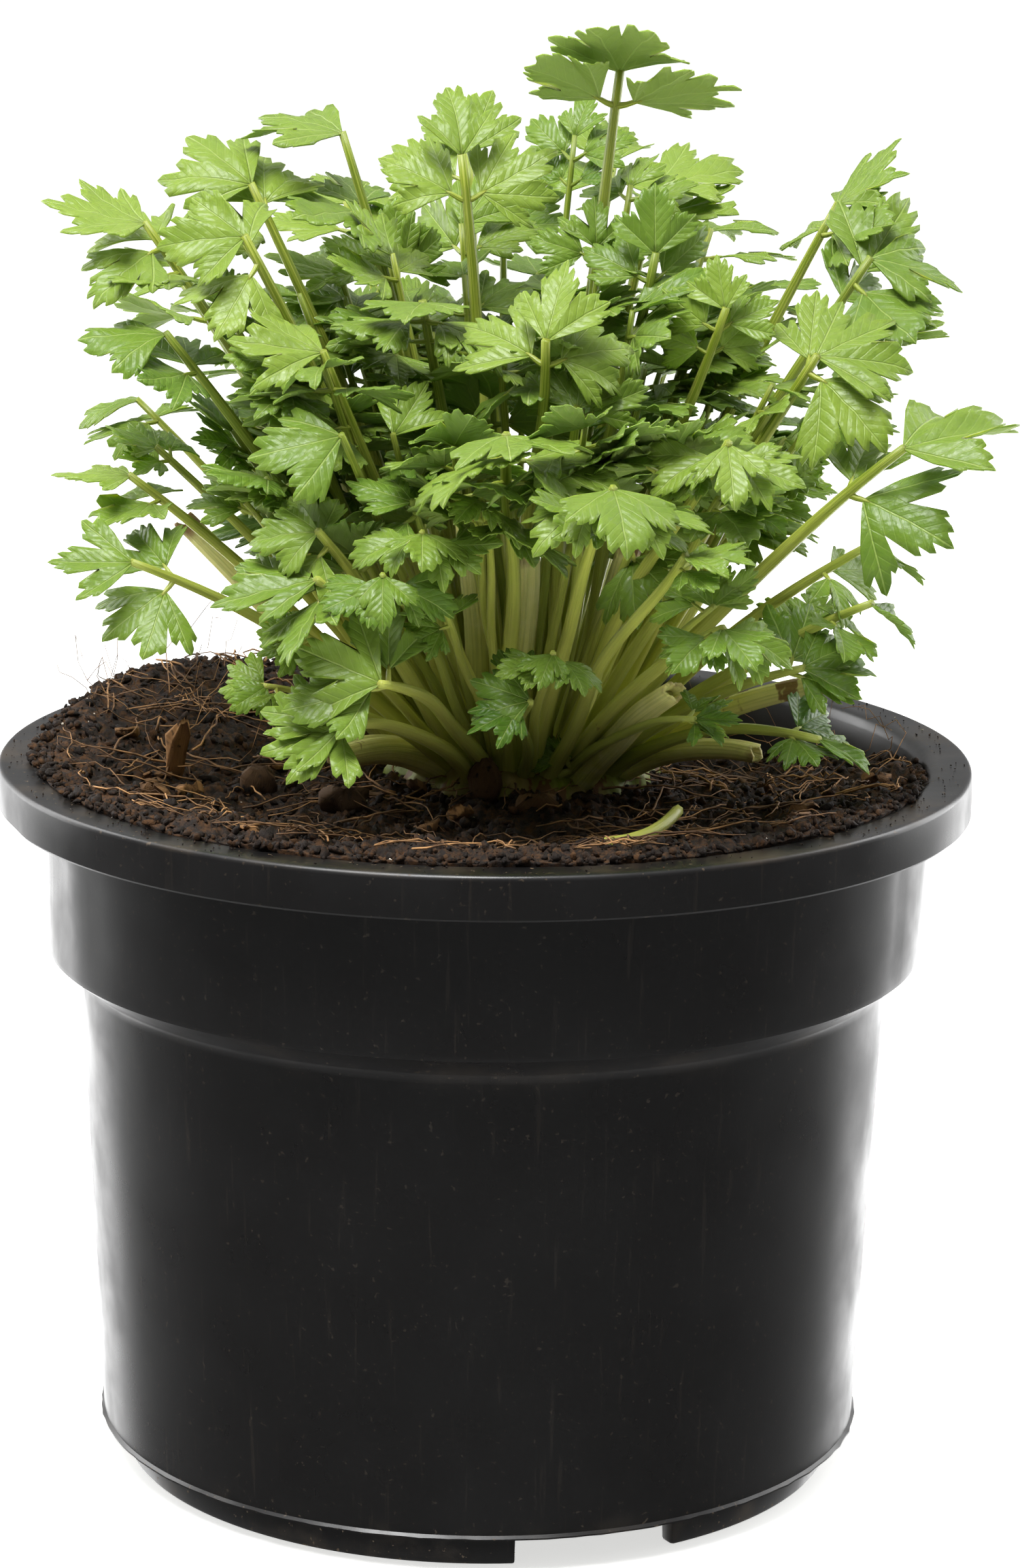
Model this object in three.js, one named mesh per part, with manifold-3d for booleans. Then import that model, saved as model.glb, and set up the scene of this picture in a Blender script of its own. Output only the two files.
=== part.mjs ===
// Potted celery: a round nursery pot with a rolled rim and three feet, filled with soil, holding one
// celery crown that has been harvested and grown again. Cut stubs and compound leaves fan out of it.
// Millimetres, +Z up. The origin is on the axis of the pot, at the height of the floor.
// Each leaf is one solid: its stalk with the leaflets that grow on it, as thin plates.

import * as THREE from 'three';
import { mergeVertices } from 'three/addons/utils/BufferGeometryUtils.js';
import Module from 'manifold-3d';

const wasm = await Module();
wasm.setup();

// ---- Driving dimensions -------------------------------------------------------------------------

const rimRadius = 95;            // outside of the rim: a 19 cm pot
const potHeight = 140;
const rimDepth = 8.5;            // height of the rim's outer band
const lipWidth = 6.5;            // top of the rim, from the outer band to the mouth
const wall = 1.3;                // moulded wall
const shoulderTopRadius = 87;    // wall just under the rim
const shoulderRadius = 85.8;     // wall at the foot of the shoulder
const shoulderZ = 103.2;
const ledgeRadius = 79.3;        // the wall steps in here, so that pots stack
const ledgeZ = 98.3;
const baseRadius = 75.2;
const footHeight = 7;
const footRadius = 71;
const footWidth = 4;
const footGap = 25.6;            // degrees, each of the three gaps between the feet
const firstGap = -71.2;          // degrees, middle of the first gap
const drainHoles = 8;
const drainRadius = 4;
const drainRing = 55;

const clearance = 0.35;          // gap kept between separate pieces
const soilLevel = 132;           // soil half way out
const soilClimb = 5;             // how much higher it stands at the wall
const soilRings = [85, 76, 66, 55, 44, 33, 20];   // rings of the soil's surface, by radius
const crownX = 7;                // the crown stands a little off the axis of the pot
const crownY = 12;
const crownZ = 137;              // top of the crown, where the stalks start
const crownRadius = 24;
const crownDepth = 18;

const stalkRadius = 1.1;         // slimmest leaf stalk
const stalkGain = 0.018;         // extra stalk radius for each millimetre of leaflet
const bladeThickness = 0.8;
const sizeSteps = [1, 0.8, 0.6, 0.42];   // a crowded leaflet takes the first size that clears
const pairAlong = 0.5;           // a side leaflet's direction: this much along the stalk
const pairOut = 0.86;            // and this much away from it
const pairSize = 1.1;            // size of the side leaflets for a last leaflet of 1
const pairLoss = 0.15;           // each pair further down is smaller by this

const potFacets = 36;            // sides of the turned pieces
const crownFacets = 24;

const deg = Math.PI / 180;

// ---- The plant, leaf by leaf ----------------------------------------------------------------------

// Each row is one leaf: where its last leaflet starts (x, y, z), how far the stalk bows upward, the
// last leaflet's heading, pitch and roll in degrees, its length, the pairs of side leaflets, and
// the stalk length between pairs. Heading 0 is +X and 90 is +Y.
const leaves = [
  [24, 5, 273, 0, -90, 40, 0, 21, 1, 7],
  [-6, 0, 257, 0, 100, 65, 10, 17, 1, 9],
  [-29, 10, 260, 10, 170, 15, -10, 20, 1, 16],
  [-46, 0, 251, 8, 165, 25, -35, 19, 1, 7],
  [-66, -5, 244, 14, 180, 8, -10, 20, 2, 6],
  [-46, -25, 244, 8, 185, 0, -45, 17, 1, 6],
  [-61, -20, 225, 12, 180, 5, -10, 17, 1, 10],
  [-31, -35, 224, 4, 175, 15, -20, 18, 1, 17],
  [-20, 15, 235, 0, 100, 70, 0, 13, 1, 3],
  [-13, -15, 231, 0, -100, 0, 0, 18, 2, 4],
  [-30, 20, 232, 4, 175, 10, -20, 15, 1, 5],
  [10, -45, 228, 0, 80, 60, 0, 17, 1, 6],
  [3, -60, 213, 0, -70, 0, 0, 20, 2, 6],
  [22, -75, 206, 6, -80, -15, 0, 18, 2, 4],
  [16, -40, 215, 0, 80, 60, 0, 12, 1, 3],
  [31, -10, 240, 0, 95, 72, 0, 14, 1, 6],
  [32, 35, 248, 4, 10, 15, 10, 19, 1, 5],
  [67, 15, 247, 8, 15, 40, 0, 18, 1, 7],
  [72, -5, 239, 10, 0, -5, 35, 20, 2, 6],
  [44, -20, 231, 0, 90, 70, 0, 11, 2, 5],
  [61, -25, 223, 8, 15, 10, 30, 19, 1, 4],
  [69, 10, 215, 4, 20, 5, 0, 11, 1, 3],
  [76, -45, 209, 10, 10, 15, 25, 23, 1, 16],
  [71, -35, 189, 12, -10, -25, 0, 13, 1, 12],
  [71, -45, 180, 8, -15, -35, 0, 12, 1, 11],
  [43, -60, 212, 6, -85, -35, 0, 15, 2, 3],
  [42, -50, 200, 2, -10, 5, 0, 15, 1, 3],
  [42, -75, 181, 6, -60, -20, 0, 13, 2, 4],
  [35, -75, 194, 0, -15, 0, 0, 13, 1, 5],
  [59, -42, 167, 6, 10, 15, 40, 14, 1, 4],
  [63, -20, 172, 0, 100, 40, 0, 9, 1, 3],
  [62, -45, 154, 14, -5, -20, 20, 12, 1, 8],
  [-31, -55, 194, 6, 180, 0, -40, 14, 1, 5],
  [-19, -70, 169, 8, 165, 20, -50, 18, 1, 4],
  [-26, -70, 161, 6, 180, -5, -40, 16, 1, 4],
  [-31, -60, 186, 6, 190, -15, -20, 20, 1, 5],
  [-66, -40, 185, 12, 180, 0, -45, 16, 1, 10],
  [-68, -20, 198, 10, 180, 5, -10, 15, 1, 8],
  [-64, -5, 201, 6, 170, 20, -20, 11, 1, 4],
  [45, 72, 235, 8, 70, 10, 0, 18, 2, 7],
  [10, 76, 225, 8, 90, 5, 0, 17, 1, 8],
  [-30, 70, 240, 8, 110, 15, 0, 18, 2, 7],
  [-62, 50, 225, 10, 140, 5, 0, 18, 1, 9],
  [70, 50, 205, 10, 40, 0, 0, 16, 1, 10],
  [-5, 60, 252, 2, 90, 40, 0, 17, 1, 7],
];

// Each row is the cut end of one harvested stalk (x, y, z) and the stalk's radius there.
const stubs = [
  [-59, 10, 184, 2.2],
  [-44, 8, 191, 2.1],
  [-27, 6, 196, 2.6],
  [-29, -20, 144, 2.6],
  [-4, -30, 192, 2.0],
  [7, -32, 188, 2.3],
  [27, -30, 189, 2.0],
  [50, 22, 189, 2.4],
  [35, -40, 162, 2.0],
  [65, -8, 157, 2.0],
  [52, -17, 145, 1.9],
];

// A leaflet seen flat: three lobes on a narrow foot, for a length of 1.
const leafletOutline = [
  [0, -0.05], [0.55, -0.46], [0.68, -0.2], [1, 0], [0.68, 0.2], [0.55, 0.46], [0, 0.05],
];

// ---- Small helpers --------------------------------------------------------------------------------

// A closed three.js geometry as a solid that can be joined and cut.
function solidOf(geometry) {
  const bare = geometry.index ? geometry.toNonIndexed() : geometry.clone();
  bare.deleteAttribute('normal');
  bare.deleteAttribute('uv');
  const merged = mergeVertices(bare, 1e-4);
  return new wasm.Manifold(new wasm.Mesh({
    numProp: 3,
    vertProperties: new Float32Array(merged.attributes.position.array),
    triVerts: new Uint32Array(merged.index.array),
  }));
}

// The other way round: a solid as a three.js geometry.
function geometryOf(solid) {
  const mesh = solid.getMesh();
  const geometry = new THREE.BufferGeometry();
  geometry.setAttribute('position', new THREE.BufferAttribute(mesh.vertProperties, 3));
  geometry.setIndex(new THREE.BufferAttribute(mesh.triVerts, 1));
  geometry.computeVertexNormals();
  return geometry;
}

// A profile of [radius, height] points turned round the Z axis.
function turned(profile, segments) {
  const points = profile.map(([radius, height]) => new THREE.Vector2(radius, height));
  return new THREE.LatheGeometry(points, segments).rotateX(Math.PI / 2);
}

function direction(heading, pitch) {
  const h = heading * deg;
  const p = pitch * deg;
  return new THREE.Vector3(Math.cos(p) * Math.cos(h), Math.cos(p) * Math.sin(h), Math.sin(p));
}

function regularPolygon(sides, radius) {
  const shape = new THREE.Shape();
  for (let i = 0; i < sides; i += 1) {
    const angle = (i / sides) * 2 * Math.PI;
    const x = radius * Math.cos(angle);
    const y = radius * Math.sin(angle);
    if (i === 0) shape.moveTo(x, y);
    else shape.lineTo(x, y);
  }
  shape.closePath();
  return shape;
}

function rod(curve, radius, sides, steps) {
  const section = regularPolygon(sides, radius);
  return new THREE.ExtrudeGeometry(section, { steps, bevelEnabled: false, extrudePath: curve });
}

function clear(candidate, placed) {
  return placed.every((other) => candidate.intersect(other).volume() < 1e-6);
}

// ---- Pot and soil -----------------------------------------------------------------------------------

const mouthRadius = rimRadius - lipWidth;
const innerTopRadius = shoulderTopRadius - wall;

function potSolid() {
  const underLip = potHeight - 1.5;
  const body = turned([
    [0, footHeight],
    [baseRadius, footHeight],
    [ledgeRadius, ledgeZ],
    [shoulderRadius, shoulderZ],
    [shoulderTopRadius, underLip],
    [rimRadius - wall, underLip],
    [rimRadius - wall, potHeight - rimDepth],
    [rimRadius, potHeight - rimDepth],
    [rimRadius - 0.4, potHeight - 0.8],
    [rimRadius - 1.3, potHeight],
    [mouthRadius, potHeight],
    [innerTopRadius + 0.9, potHeight - 0.8],
    [innerTopRadius, potHeight - 2.5],
    [shoulderRadius - wall, shoulderZ + 0.7],
    [ledgeRadius - wall, ledgeZ + 0.7],
    [baseRadius - wall, footHeight + 1.6],
    [0, footHeight + 1.6],
  ], potFacets);
  const ring = turned([
    [footRadius - footWidth, 0],
    [footRadius, 0],
    [footRadius + 0.4, footHeight + 0.5],
    [footRadius - footWidth, footHeight + 0.5],
    [footRadius - footWidth, 0],
  ], potFacets);
  let feet = solidOf(ring);
  const gapWidth = 2 * footRadius * Math.sin((footGap / 2) * deg);
  for (let i = 0; i < 3; i += 1) {
    const gap = new THREE.BoxGeometry(30, gapWidth, footHeight * 2 - 0.2);
    gap.translate(footRadius, 0, 0);
    gap.rotateZ((firstGap + i * 120) * deg);
    feet = feet.subtract(solidOf(gap));
  }
  let pot = solidOf(body).add(feet);
  for (let i = 0; i < drainHoles; i += 1) {
    const hole = new THREE.CylinderGeometry(drainRadius, drainRadius, 6, 12).rotateX(Math.PI / 2);
    hole.translate(drainRing, 0, footHeight + 1);
    hole.rotateZ((i / drainHoles) * 2 * Math.PI);
    pot = pot.subtract(solidOf(hole));
  }
  return pot;
}

// Height of the soil: it climbs towards the wall, with a low mound round the crown and one at the
// back left, and a hollow at the back right, where the inside of the wall shows.
function soilHeight(x, y) {
  const rise = soilClimb * THREE.MathUtils.smoothstep(Math.hypot(x, y), 45, 80);
  const mound = 4 * Math.exp(-((x - crownX) ** 2 + (y - crownY) ** 2) / 38 ** 2);
  const left = 6 * Math.exp(-((x + 55) ** 2 + (y - 42) ** 2) / 34 ** 2);
  const right = -12 * Math.exp(-((x - 55) ** 2 + (y - 52) ** 2) / 34 ** 2);
  return soilLevel + mound + left + right + rise;
}

function crownProfile(gap) {
  return [
    [0, crownZ - crownDepth - gap],
    [crownRadius * 0.7 + gap, crownZ - crownDepth - gap],
    [crownRadius + 3 + gap, crownZ - 6],
    [crownRadius + 2.5 + gap, crownZ - 1],
    [crownRadius + 1 + gap, crownZ + gap],
    [0, crownZ + gap],
  ];
}

function soilSolid() {
  const inner = clearance + wall;
  const profile = [
    [0, footHeight + 1.6 + clearance],
    [baseRadius - inner - 0.3, footHeight + 1.6 + clearance],
    [ledgeRadius - inner - 0.2, ledgeZ + 0.9],
    [shoulderRadius - inner - 0.2, shoulderZ + 1],
    ...soilRings.map((radius) => [radius, soilLevel]),
    [0, soilLevel],
  ];
  const soil = turned(profile, potFacets);
  const position = soil.attributes.position;
  for (let i = 0; i < position.count; i += 1) {
    if (position.getZ(i) > soilLevel - 1) {
      position.setZ(i, soilHeight(position.getX(i), position.getY(i)));
    }
  }
  const seat = turned(crownProfile(clearance), crownFacets).translate(crownX, crownY, 0);
  const clearing = new THREE.CylinderGeometry(crownRadius + 3, crownRadius + 3, 10, crownFacets);
  clearing.rotateX(Math.PI / 2).translate(crownX, crownY, crownZ + 4);
  return solidOf(soil).subtract(solidOf(seat)).subtract(solidOf(clearing));
}

// ---- Stalks -----------------------------------------------------------------------------------------

// A stalk leaves the crown like a quill from a cushion: the further its end leans out, the nearer
// to the edge of the crown it starts.
function stalkPlan(end, bow, radius) {
  const dx = end.x - crownX;
  const dy = end.y - crownY;
  const flat = Math.hypot(dx, dy);
  const lean = Math.atan2(flat, end.z + bow - crownZ);
  const reach = crownRadius * Math.sin(lean);
  const start = new THREE.Vector3(crownX + (dx / flat) * reach, crownY + (dy / flat) * reach, 0);
  start.z = crownZ + clearance + radius * Math.sin(lean);
  return { start, end, lean, radius };
}

// Starts that stand too close together are pushed apart, a little at a time.
function spread(plans) {
  for (let round = 0; round < 60; round += 1) {
    for (let i = 0; i < plans.length; i += 1) {
      for (let j = i + 1; j < plans.length; j += 1) {
        const a = plans[i];
        const b = plans[j];
        const away = b.start.clone().sub(a.start).setZ(0);
        const needed = (a.radius + b.radius) * 1.25 + 2 * clearance;
        const distance = away.length();
        if (distance < needed) {
          away.multiplyScalar((0.5 * (needed - distance)) / Math.max(distance, 0.01));
          a.start.sub(away);
          b.start.add(away);
        }
      }
    }
  }
}

function stalkCurve(plan) {
  const outward = Math.atan2(plan.end.y - plan.start.y, plan.end.x - plan.start.x) / deg;
  const rise = 90 - (plan.lean / deg) * 0.8;
  const first = direction(outward, rise);
  const length = plan.start.distanceTo(plan.end);
  const middle = plan.start.clone().addScaledVector(first, length * 0.5);
  return new THREE.QuadraticBezierCurve3(plan.start, middle, plan.end);
}

// ---- Leaflets ---------------------------------------------------------------------------------------

// A flat plate of the outline, at its base point, along its length and square to its face.
function leafletGeometry(base, along, face, size, margin) {
  const shape = new THREE.Shape();
  leafletOutline.forEach(([u, v], index) => {
    const x = u * size + margin * Math.sign(u - 0.5);
    const y = v * size + margin * Math.sign(v);
    if (index === 0) shape.moveTo(x, y);
    else shape.lineTo(x, y);
  });
  shape.closePath();
  const depth = bladeThickness + 2 * margin;
  const plate = new THREE.ExtrudeGeometry(shape, { steps: 1, depth, bevelEnabled: false });
  plate.translate(0, 0, -depth / 2);
  const across = face.clone().cross(along).normalize();
  const turn = new THREE.Matrix4().makeBasis(along, across, along.clone().cross(across));
  return plate.applyMatrix4(turn.setPosition(base));
}

// Base, direction, face and size of every leaflet on a leaf.
function leafletPlans(row, curve) {
  const [, , , , heading, pitch, roll, size, pairs, gap] = row;
  const along = direction(heading, pitch);
  const face = direction(heading, pitch + 90).applyAxisAngle(along, roll * deg);
  const side = along.clone().cross(face);
  const plans = [{ base: curve.getPoint(1), along, face, size }];
  const length = curve.getLength();
  for (let pair = 1; pair <= pairs; pair += 1) {
    const base = curve.getPointAt(1 - (pair * gap) / length);
    for (const hand of [-1, 1]) {
      const out = along.clone().multiplyScalar(pairAlong).addScaledVector(side, pairOut * hand);
      const pairLength = size * (pairSize - pairLoss * pair);
      plans.push({ base, along: out.normalize(), face, size: pairLength });
    }
  }
  return plans;
}

// ---- Assembly ---------------------------------------------------------------------------------------

const plasticMaterial = new THREE.MeshStandardMaterial({ color: 0x1f1d1e, roughness: 0.45 });
const soilMaterial = new THREE.MeshStandardMaterial({ color: 0x2e1d14, roughness: 0.95 });
const crownMaterial = new THREE.MeshStandardMaterial({ color: 0x8f8a4a, roughness: 0.6 });
const leafMaterial = new THREE.MeshStandardMaterial({ color: 0x5c9136, roughness: 0.5 });
const stubMaterial = new THREE.MeshStandardMaterial({ color: 0xc9c07a, roughness: 0.6 });

const object = new THREE.Group();

function addPiece(name, geometry, material) {
  const mesh = new THREE.Mesh(geometry, material);
  mesh.name = name;
  object.add(mesh);
}

function numbered(name, index) {
  return `${name}_${String(index + 1).padStart(2, '0')}`;
}

addPiece('pot', geometryOf(potSolid()), plasticMaterial);
addPiece('soil', geometryOf(soilSolid()), soilMaterial);
const crown = turned(crownProfile(0), crownFacets).translate(crownX, crownY, 0);
addPiece('crown', crown, crownMaterial);

const leafPlans = leaves.map((row) => {
  const [x, y, z, bow, , , , size] = row;
  return stalkPlan(new THREE.Vector3(x, y, z), bow, stalkRadius + stalkGain * size);
});
const stubPlans = stubs.map(([x, y, z, radius]) => stalkPlan(new THREE.Vector3(x, y, z), 6, radius));
spread([...leafPlans, ...stubPlans]);

const curves = leafPlans.map(stalkCurve);
const stalks = curves.map((curve, i) => solidOf(rod(curve, leafPlans[i].radius, 5, 6)));
const stubSolids = stubPlans.map((plan) => solidOf(rod(stalkCurve(plan), plan.radius, 7, 4)));
stubSolids.forEach((solid, i) => addPiece(numbered('cut_stub', i), geometryOf(solid), stubMaterial));

// A length of stalk that broke off and lies on the soil in front.
const fallenPath = new THREE.QuadraticBezierCurve3(
  new THREE.Vector3(22, -61, 137.3),
  new THREE.Vector3(31, -58, 137.5),
  new THREE.Vector3(36, -44, 140),
);
const fallenStalk = rod(fallenPath, 1.5, 6, 4);
addPiece('fallen_stalk', fallenStalk, leafMaterial);

// Leaflets go on one leaf after another. Each keeps clear of the stalks and stubs of the others and
// of the leaflets that are already there; where no size fits, that leaflet is left out.
const potEnvelope = turned([
  [0, 0],
  [rimRadius + 2, 0],
  [rimRadius + 2, potHeight],
  [0, potHeight],
], crownFacets);
const fixed = [solidOf(potEnvelope), solidOf(fallenStalk)];
const finished = [...stalks];
leaves.forEach((row, i) => {
  const others = finished.filter((_, j) => j !== i).concat(stubSolids, fixed);
  for (const { base, along, face, size } of leafletPlans(row, curves[i])) {
    const step = sizeSteps.find((scale) => {
      const swollen = leafletGeometry(base, along, face, size * scale, clearance);
      return clear(solidOf(swollen), others);
    });
    if (step) {
      const blade = leafletGeometry(base, along, face, size * step, 0);
      finished[i] = finished[i].add(solidOf(blade));
    }
  }
  addPiece(numbered('leaf', i), geometryOf(finished[i]), leafMaterial);
});

export default object;
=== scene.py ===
"""Potted celery: a harvested crown that grows again in a black nursery pot.

Each operator makes one piece, or one group of like pieces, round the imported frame.
Lengths in the tables are millimetres; meshes are metres.
"""

import math
import random
from types import SimpleNamespace

import bpy
import numpy as np
from bpy.props import FloatProperty, FloatVectorProperty, IntProperty, PointerProperty
from mathutils import Matrix, Vector, noise


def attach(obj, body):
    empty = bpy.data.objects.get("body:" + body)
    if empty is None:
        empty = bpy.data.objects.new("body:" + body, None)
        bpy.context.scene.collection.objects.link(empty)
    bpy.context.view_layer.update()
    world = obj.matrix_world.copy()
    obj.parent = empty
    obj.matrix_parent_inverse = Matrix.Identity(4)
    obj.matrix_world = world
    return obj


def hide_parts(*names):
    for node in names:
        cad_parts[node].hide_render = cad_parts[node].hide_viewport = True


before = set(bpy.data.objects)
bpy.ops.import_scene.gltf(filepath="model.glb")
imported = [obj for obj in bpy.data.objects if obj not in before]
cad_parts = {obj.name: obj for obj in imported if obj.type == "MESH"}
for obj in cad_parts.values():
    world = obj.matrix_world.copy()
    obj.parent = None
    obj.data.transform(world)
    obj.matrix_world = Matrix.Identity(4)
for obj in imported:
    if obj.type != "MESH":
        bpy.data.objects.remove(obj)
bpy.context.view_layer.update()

bl_info = {
    "name": "Potted celery",
    "version": (1, 0, 0),
    "blender": (4, 5, 0),
    "location": "3D View > Sidebar > Celery",
    "description": "A celery crown that grows again in a nursery pot, made piece by piece",
    "category": "Object",
}

MM = 0.001
TURN = 2 * math.pi

# The crown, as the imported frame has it: its middle and its top.
CROWN = Vector((7, 12, 137))
CROWN_RADIUS = 24
STALK_RADIUS = 1.1
STALK_GAIN = 0.018
CLEARANCE = 0.35

# Each row is one leaf: where its last leaflet starts (x, y, z), how far the stalk bows upward, the
# last leaflet's heading, pitch and roll in degrees, its length, the pairs of side leaflets, and
# the stalk length between pairs. Heading 0 is +X and 90 is +Y. Row n stands for node leaf_n.
LEAVES = [
    (24, 5, 273, 0, -90, 40, 0, 21, 1, 7),
    (-6, 0, 257, 0, 100, 65, 10, 17, 1, 9),
    (-29, 10, 260, 10, 170, 15, -10, 20, 1, 16),
    (-46, 0, 251, 8, 165, 25, -35, 19, 1, 7),
    (-66, -5, 244, 14, 180, 8, -10, 20, 2, 6),
    (-46, -25, 244, 8, 185, 0, -45, 17, 1, 6),
    (-61, -20, 225, 12, 180, 5, -10, 17, 1, 10),
    (-31, -35, 224, 4, 175, 15, -20, 18, 1, 17),
    (-20, 15, 235, 0, 100, 70, 0, 13, 1, 3),
    (-13, -15, 231, 0, -100, 0, 0, 18, 2, 4),
    (-30, 20, 232, 4, 175, 10, -20, 15, 1, 5),
    (10, -45, 228, 0, 80, 60, 0, 17, 1, 6),
    (3, -60, 213, 0, -70, 0, 0, 20, 2, 6),
    (22, -75, 206, 6, -80, -15, 0, 18, 2, 4),
    (16, -40, 215, 0, 80, 60, 0, 12, 1, 3),
    (31, -10, 240, 0, 95, 72, 0, 14, 1, 6),
    (32, 35, 248, 4, 10, 15, 10, 19, 1, 5),
    (67, 15, 247, 8, 15, 40, 0, 18, 1, 7),
    (72, -5, 239, 10, 0, -5, 35, 20, 2, 6),
    (44, -20, 231, 0, 90, 70, 0, 11, 2, 5),
    (61, -25, 223, 8, 15, 10, 30, 19, 1, 4),
    (69, 10, 215, 4, 20, 5, 0, 11, 1, 3),
    (76, -45, 209, 10, 10, 15, 25, 23, 1, 16),
    (71, -35, 189, 12, -10, -25, 0, 13, 1, 12),
    (71, -45, 180, 8, -15, -35, 0, 12, 1, 11),
    (43, -60, 212, 6, -85, -35, 0, 15, 2, 3),
    (42, -50, 200, 2, -10, 5, 0, 15, 1, 3),
    (42, -75, 181, 6, -60, -20, 0, 13, 2, 4),
    (35, -75, 194, 0, -15, 0, 0, 13, 1, 5),
    (59, -42, 167, 6, 10, 15, 40, 14, 1, 4),
    (63, -20, 172, 0, 100, 40, 0, 9, 1, 3),
    (62, -45, 154, 14, -5, -20, 20, 12, 1, 8),
    (-31, -55, 194, 6, 180, 0, -40, 14, 1, 5),
    (-19, -70, 169, 8, 165, 20, -50, 18, 1, 4),
    (-26, -70, 161, 6, 180, -5, -40, 16, 1, 4),
    (-31, -60, 186, 6, 190, -15, -20, 20, 1, 5),
    (-66, -40, 185, 12, 180, 0, -45, 16, 1, 10),
    (-68, -20, 198, 10, 180, 5, -10, 15, 1, 8),
    (-64, -5, 201, 6, 170, 20, -20, 11, 1, 4),
    (45, 72, 235, 8, 70, 10, 0, 18, 2, 7),
    (10, 76, 225, 8, 90, 5, 0, 17, 1, 8),
    (-30, 70, 240, 8, 110, 15, 0, 18, 2, 7),
    (-62, 50, 225, 10, 140, 5, 0, 18, 1, 9),
    (70, 50, 205, 10, 40, 0, 0, 16, 1, 10),
    (-5, 60, 252, 2, 90, 40, 0, 17, 1, 7),
]

# Smaller leaves between them, in the same form. They have no node of their own.
INNER_LEAVES = [
    (16, 30, 258, 0, 60, 60, 0, 11, 2, 5),
    (-50, -15, 229, 6, 120, 55, 0, 12, 0, 5),
    (-39, -20, 213, 4, 140, 60, -10, 17, 0, 5),
    (-27, -50, 211, 2, 185, -5, -50, 18, 0, 5),
    (-6, 25, 241, 0, 60, 40, 0, 16, 1, 6),
    (2, 40, 243, 0, 60, 60, 0, 12, 1, 5),
    (20, 0, 240, 0, 95, 72, 0, 11, 1, 3),
    (27, 25, 249, 0, 60, 45, 0, 12, 1, 3),
    (61, -15, 209, 4, 20, 45, 0, 7, 1, 3),
    (41, -60, 182, 0, 90, 55, 0, 10, 1, 3),
    (38, -60, 161, 6, 0, 0, 30, 9, 1, 3),
    (16, -14, 143, 0, 100, 30, 0, 8, 1, 2),
    (8, -60, 164, 4, 180, 5, -50, 12, 1, 3),
    (12, -60, 173, 4, -100, -20, 0, 10, 1, 3),
    (-8, -60, 181, 6, 165, 20, -20, 10, 1, 8),
    (-19, -65, 188, 2, -90, -35, 0, 12, 1, 3),
    (-14, -50, 199, 0, 175, 10, -30, 13, 1, 4),
    (-18, -30, 208, 0, 60, 45, 0, 13, 0, 3),
    (-12, -60, 195, 2, -100, -10, 0, 13, 1, 3),
    (-41, -45, 163, 6, 210, -25, -30, 9, 1, 3),
    (-34, -50, 174, 4, 180, 0, -30, 9, 1, 3),
    (-46, -20, 193, 2, 110, 45, 0, 11, 1, 3),
    (-5, -20, 205, 0, 200, 10, 0, 14, 1, 4),
    (20, -25, 200, 0, -30, 20, 0, 14, 1, 4),
    (30, 10, 215, 0, 30, 20, 0, 15, 1, 4),
    (0, 20, 220, 0, 120, 30, 0, 15, 1, 4),
    (45, 10, 215, 2, 10, 20, 0, 14, 1, 4),
    (-35, 0, 212, 2, 180, 10, 0, 13, 1, 4),
]
BACK_LEAVES = [
    (25, 65, 250, 4, 80, 30, 0, 16, 1, 6),
    (55, 60, 225, 6, 45, 10, 0, 16, 2, 6),
    (-15, 72, 215, 6, 100, 5, 0, 15, 1, 5),
    (-48, 62, 210, 8, 130, 0, 0, 15, 1, 6),
    (-70, 28, 205, 8, 165, 0, 0, 14, 1, 6),
    (78, 20, 225, 8, 25, 0, 0, 14, 1, 6),
    (35, 70, 200, 6, 70, -5, 0, 14, 1, 5),
    (-20, 50, 200, 2, 110, 20, 0, 13, 1, 4),
    (60, 35, 190, 4, 30, 0, 0, 12, 1, 4),
    (15, 50, 205, 0, 80, 20, 0, 14, 1, 4),
]

# Each row is the cut end of one harvested stalk (x, y, z), its radius there, how brown the cut is
# and how many brown scars it has, both from 0 to 1. Row n stands for node cut_stub_n.
STUBS = [
    (-59, 10, 184, 2.2, 0.9, 0.3),
    (-44, 8, 191, 2.1, 0.5, 0.2),
    (-27, 6, 196, 2.6, 0.4, 0.1),
    (-29, -20, 144, 2.6, 0.6, 0.3),
    (-4, -30, 192, 2.0, 0.4, 0.2),
    (7, -32, 188, 2.3, 0.3, 0.2),
    (27, -30, 189, 2.0, 1.0, 0.4),
    (50, 22, 189, 2.4, 0.4, 0.2),
    (35, -40, 162, 2.0, 0.3, 0.1),
    (65, -8, 157, 2.0, 0.5, 0.9),
    (52, -17, 145, 1.9, 0.6, 0.3),
]
STUB_BOW = 6

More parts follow.
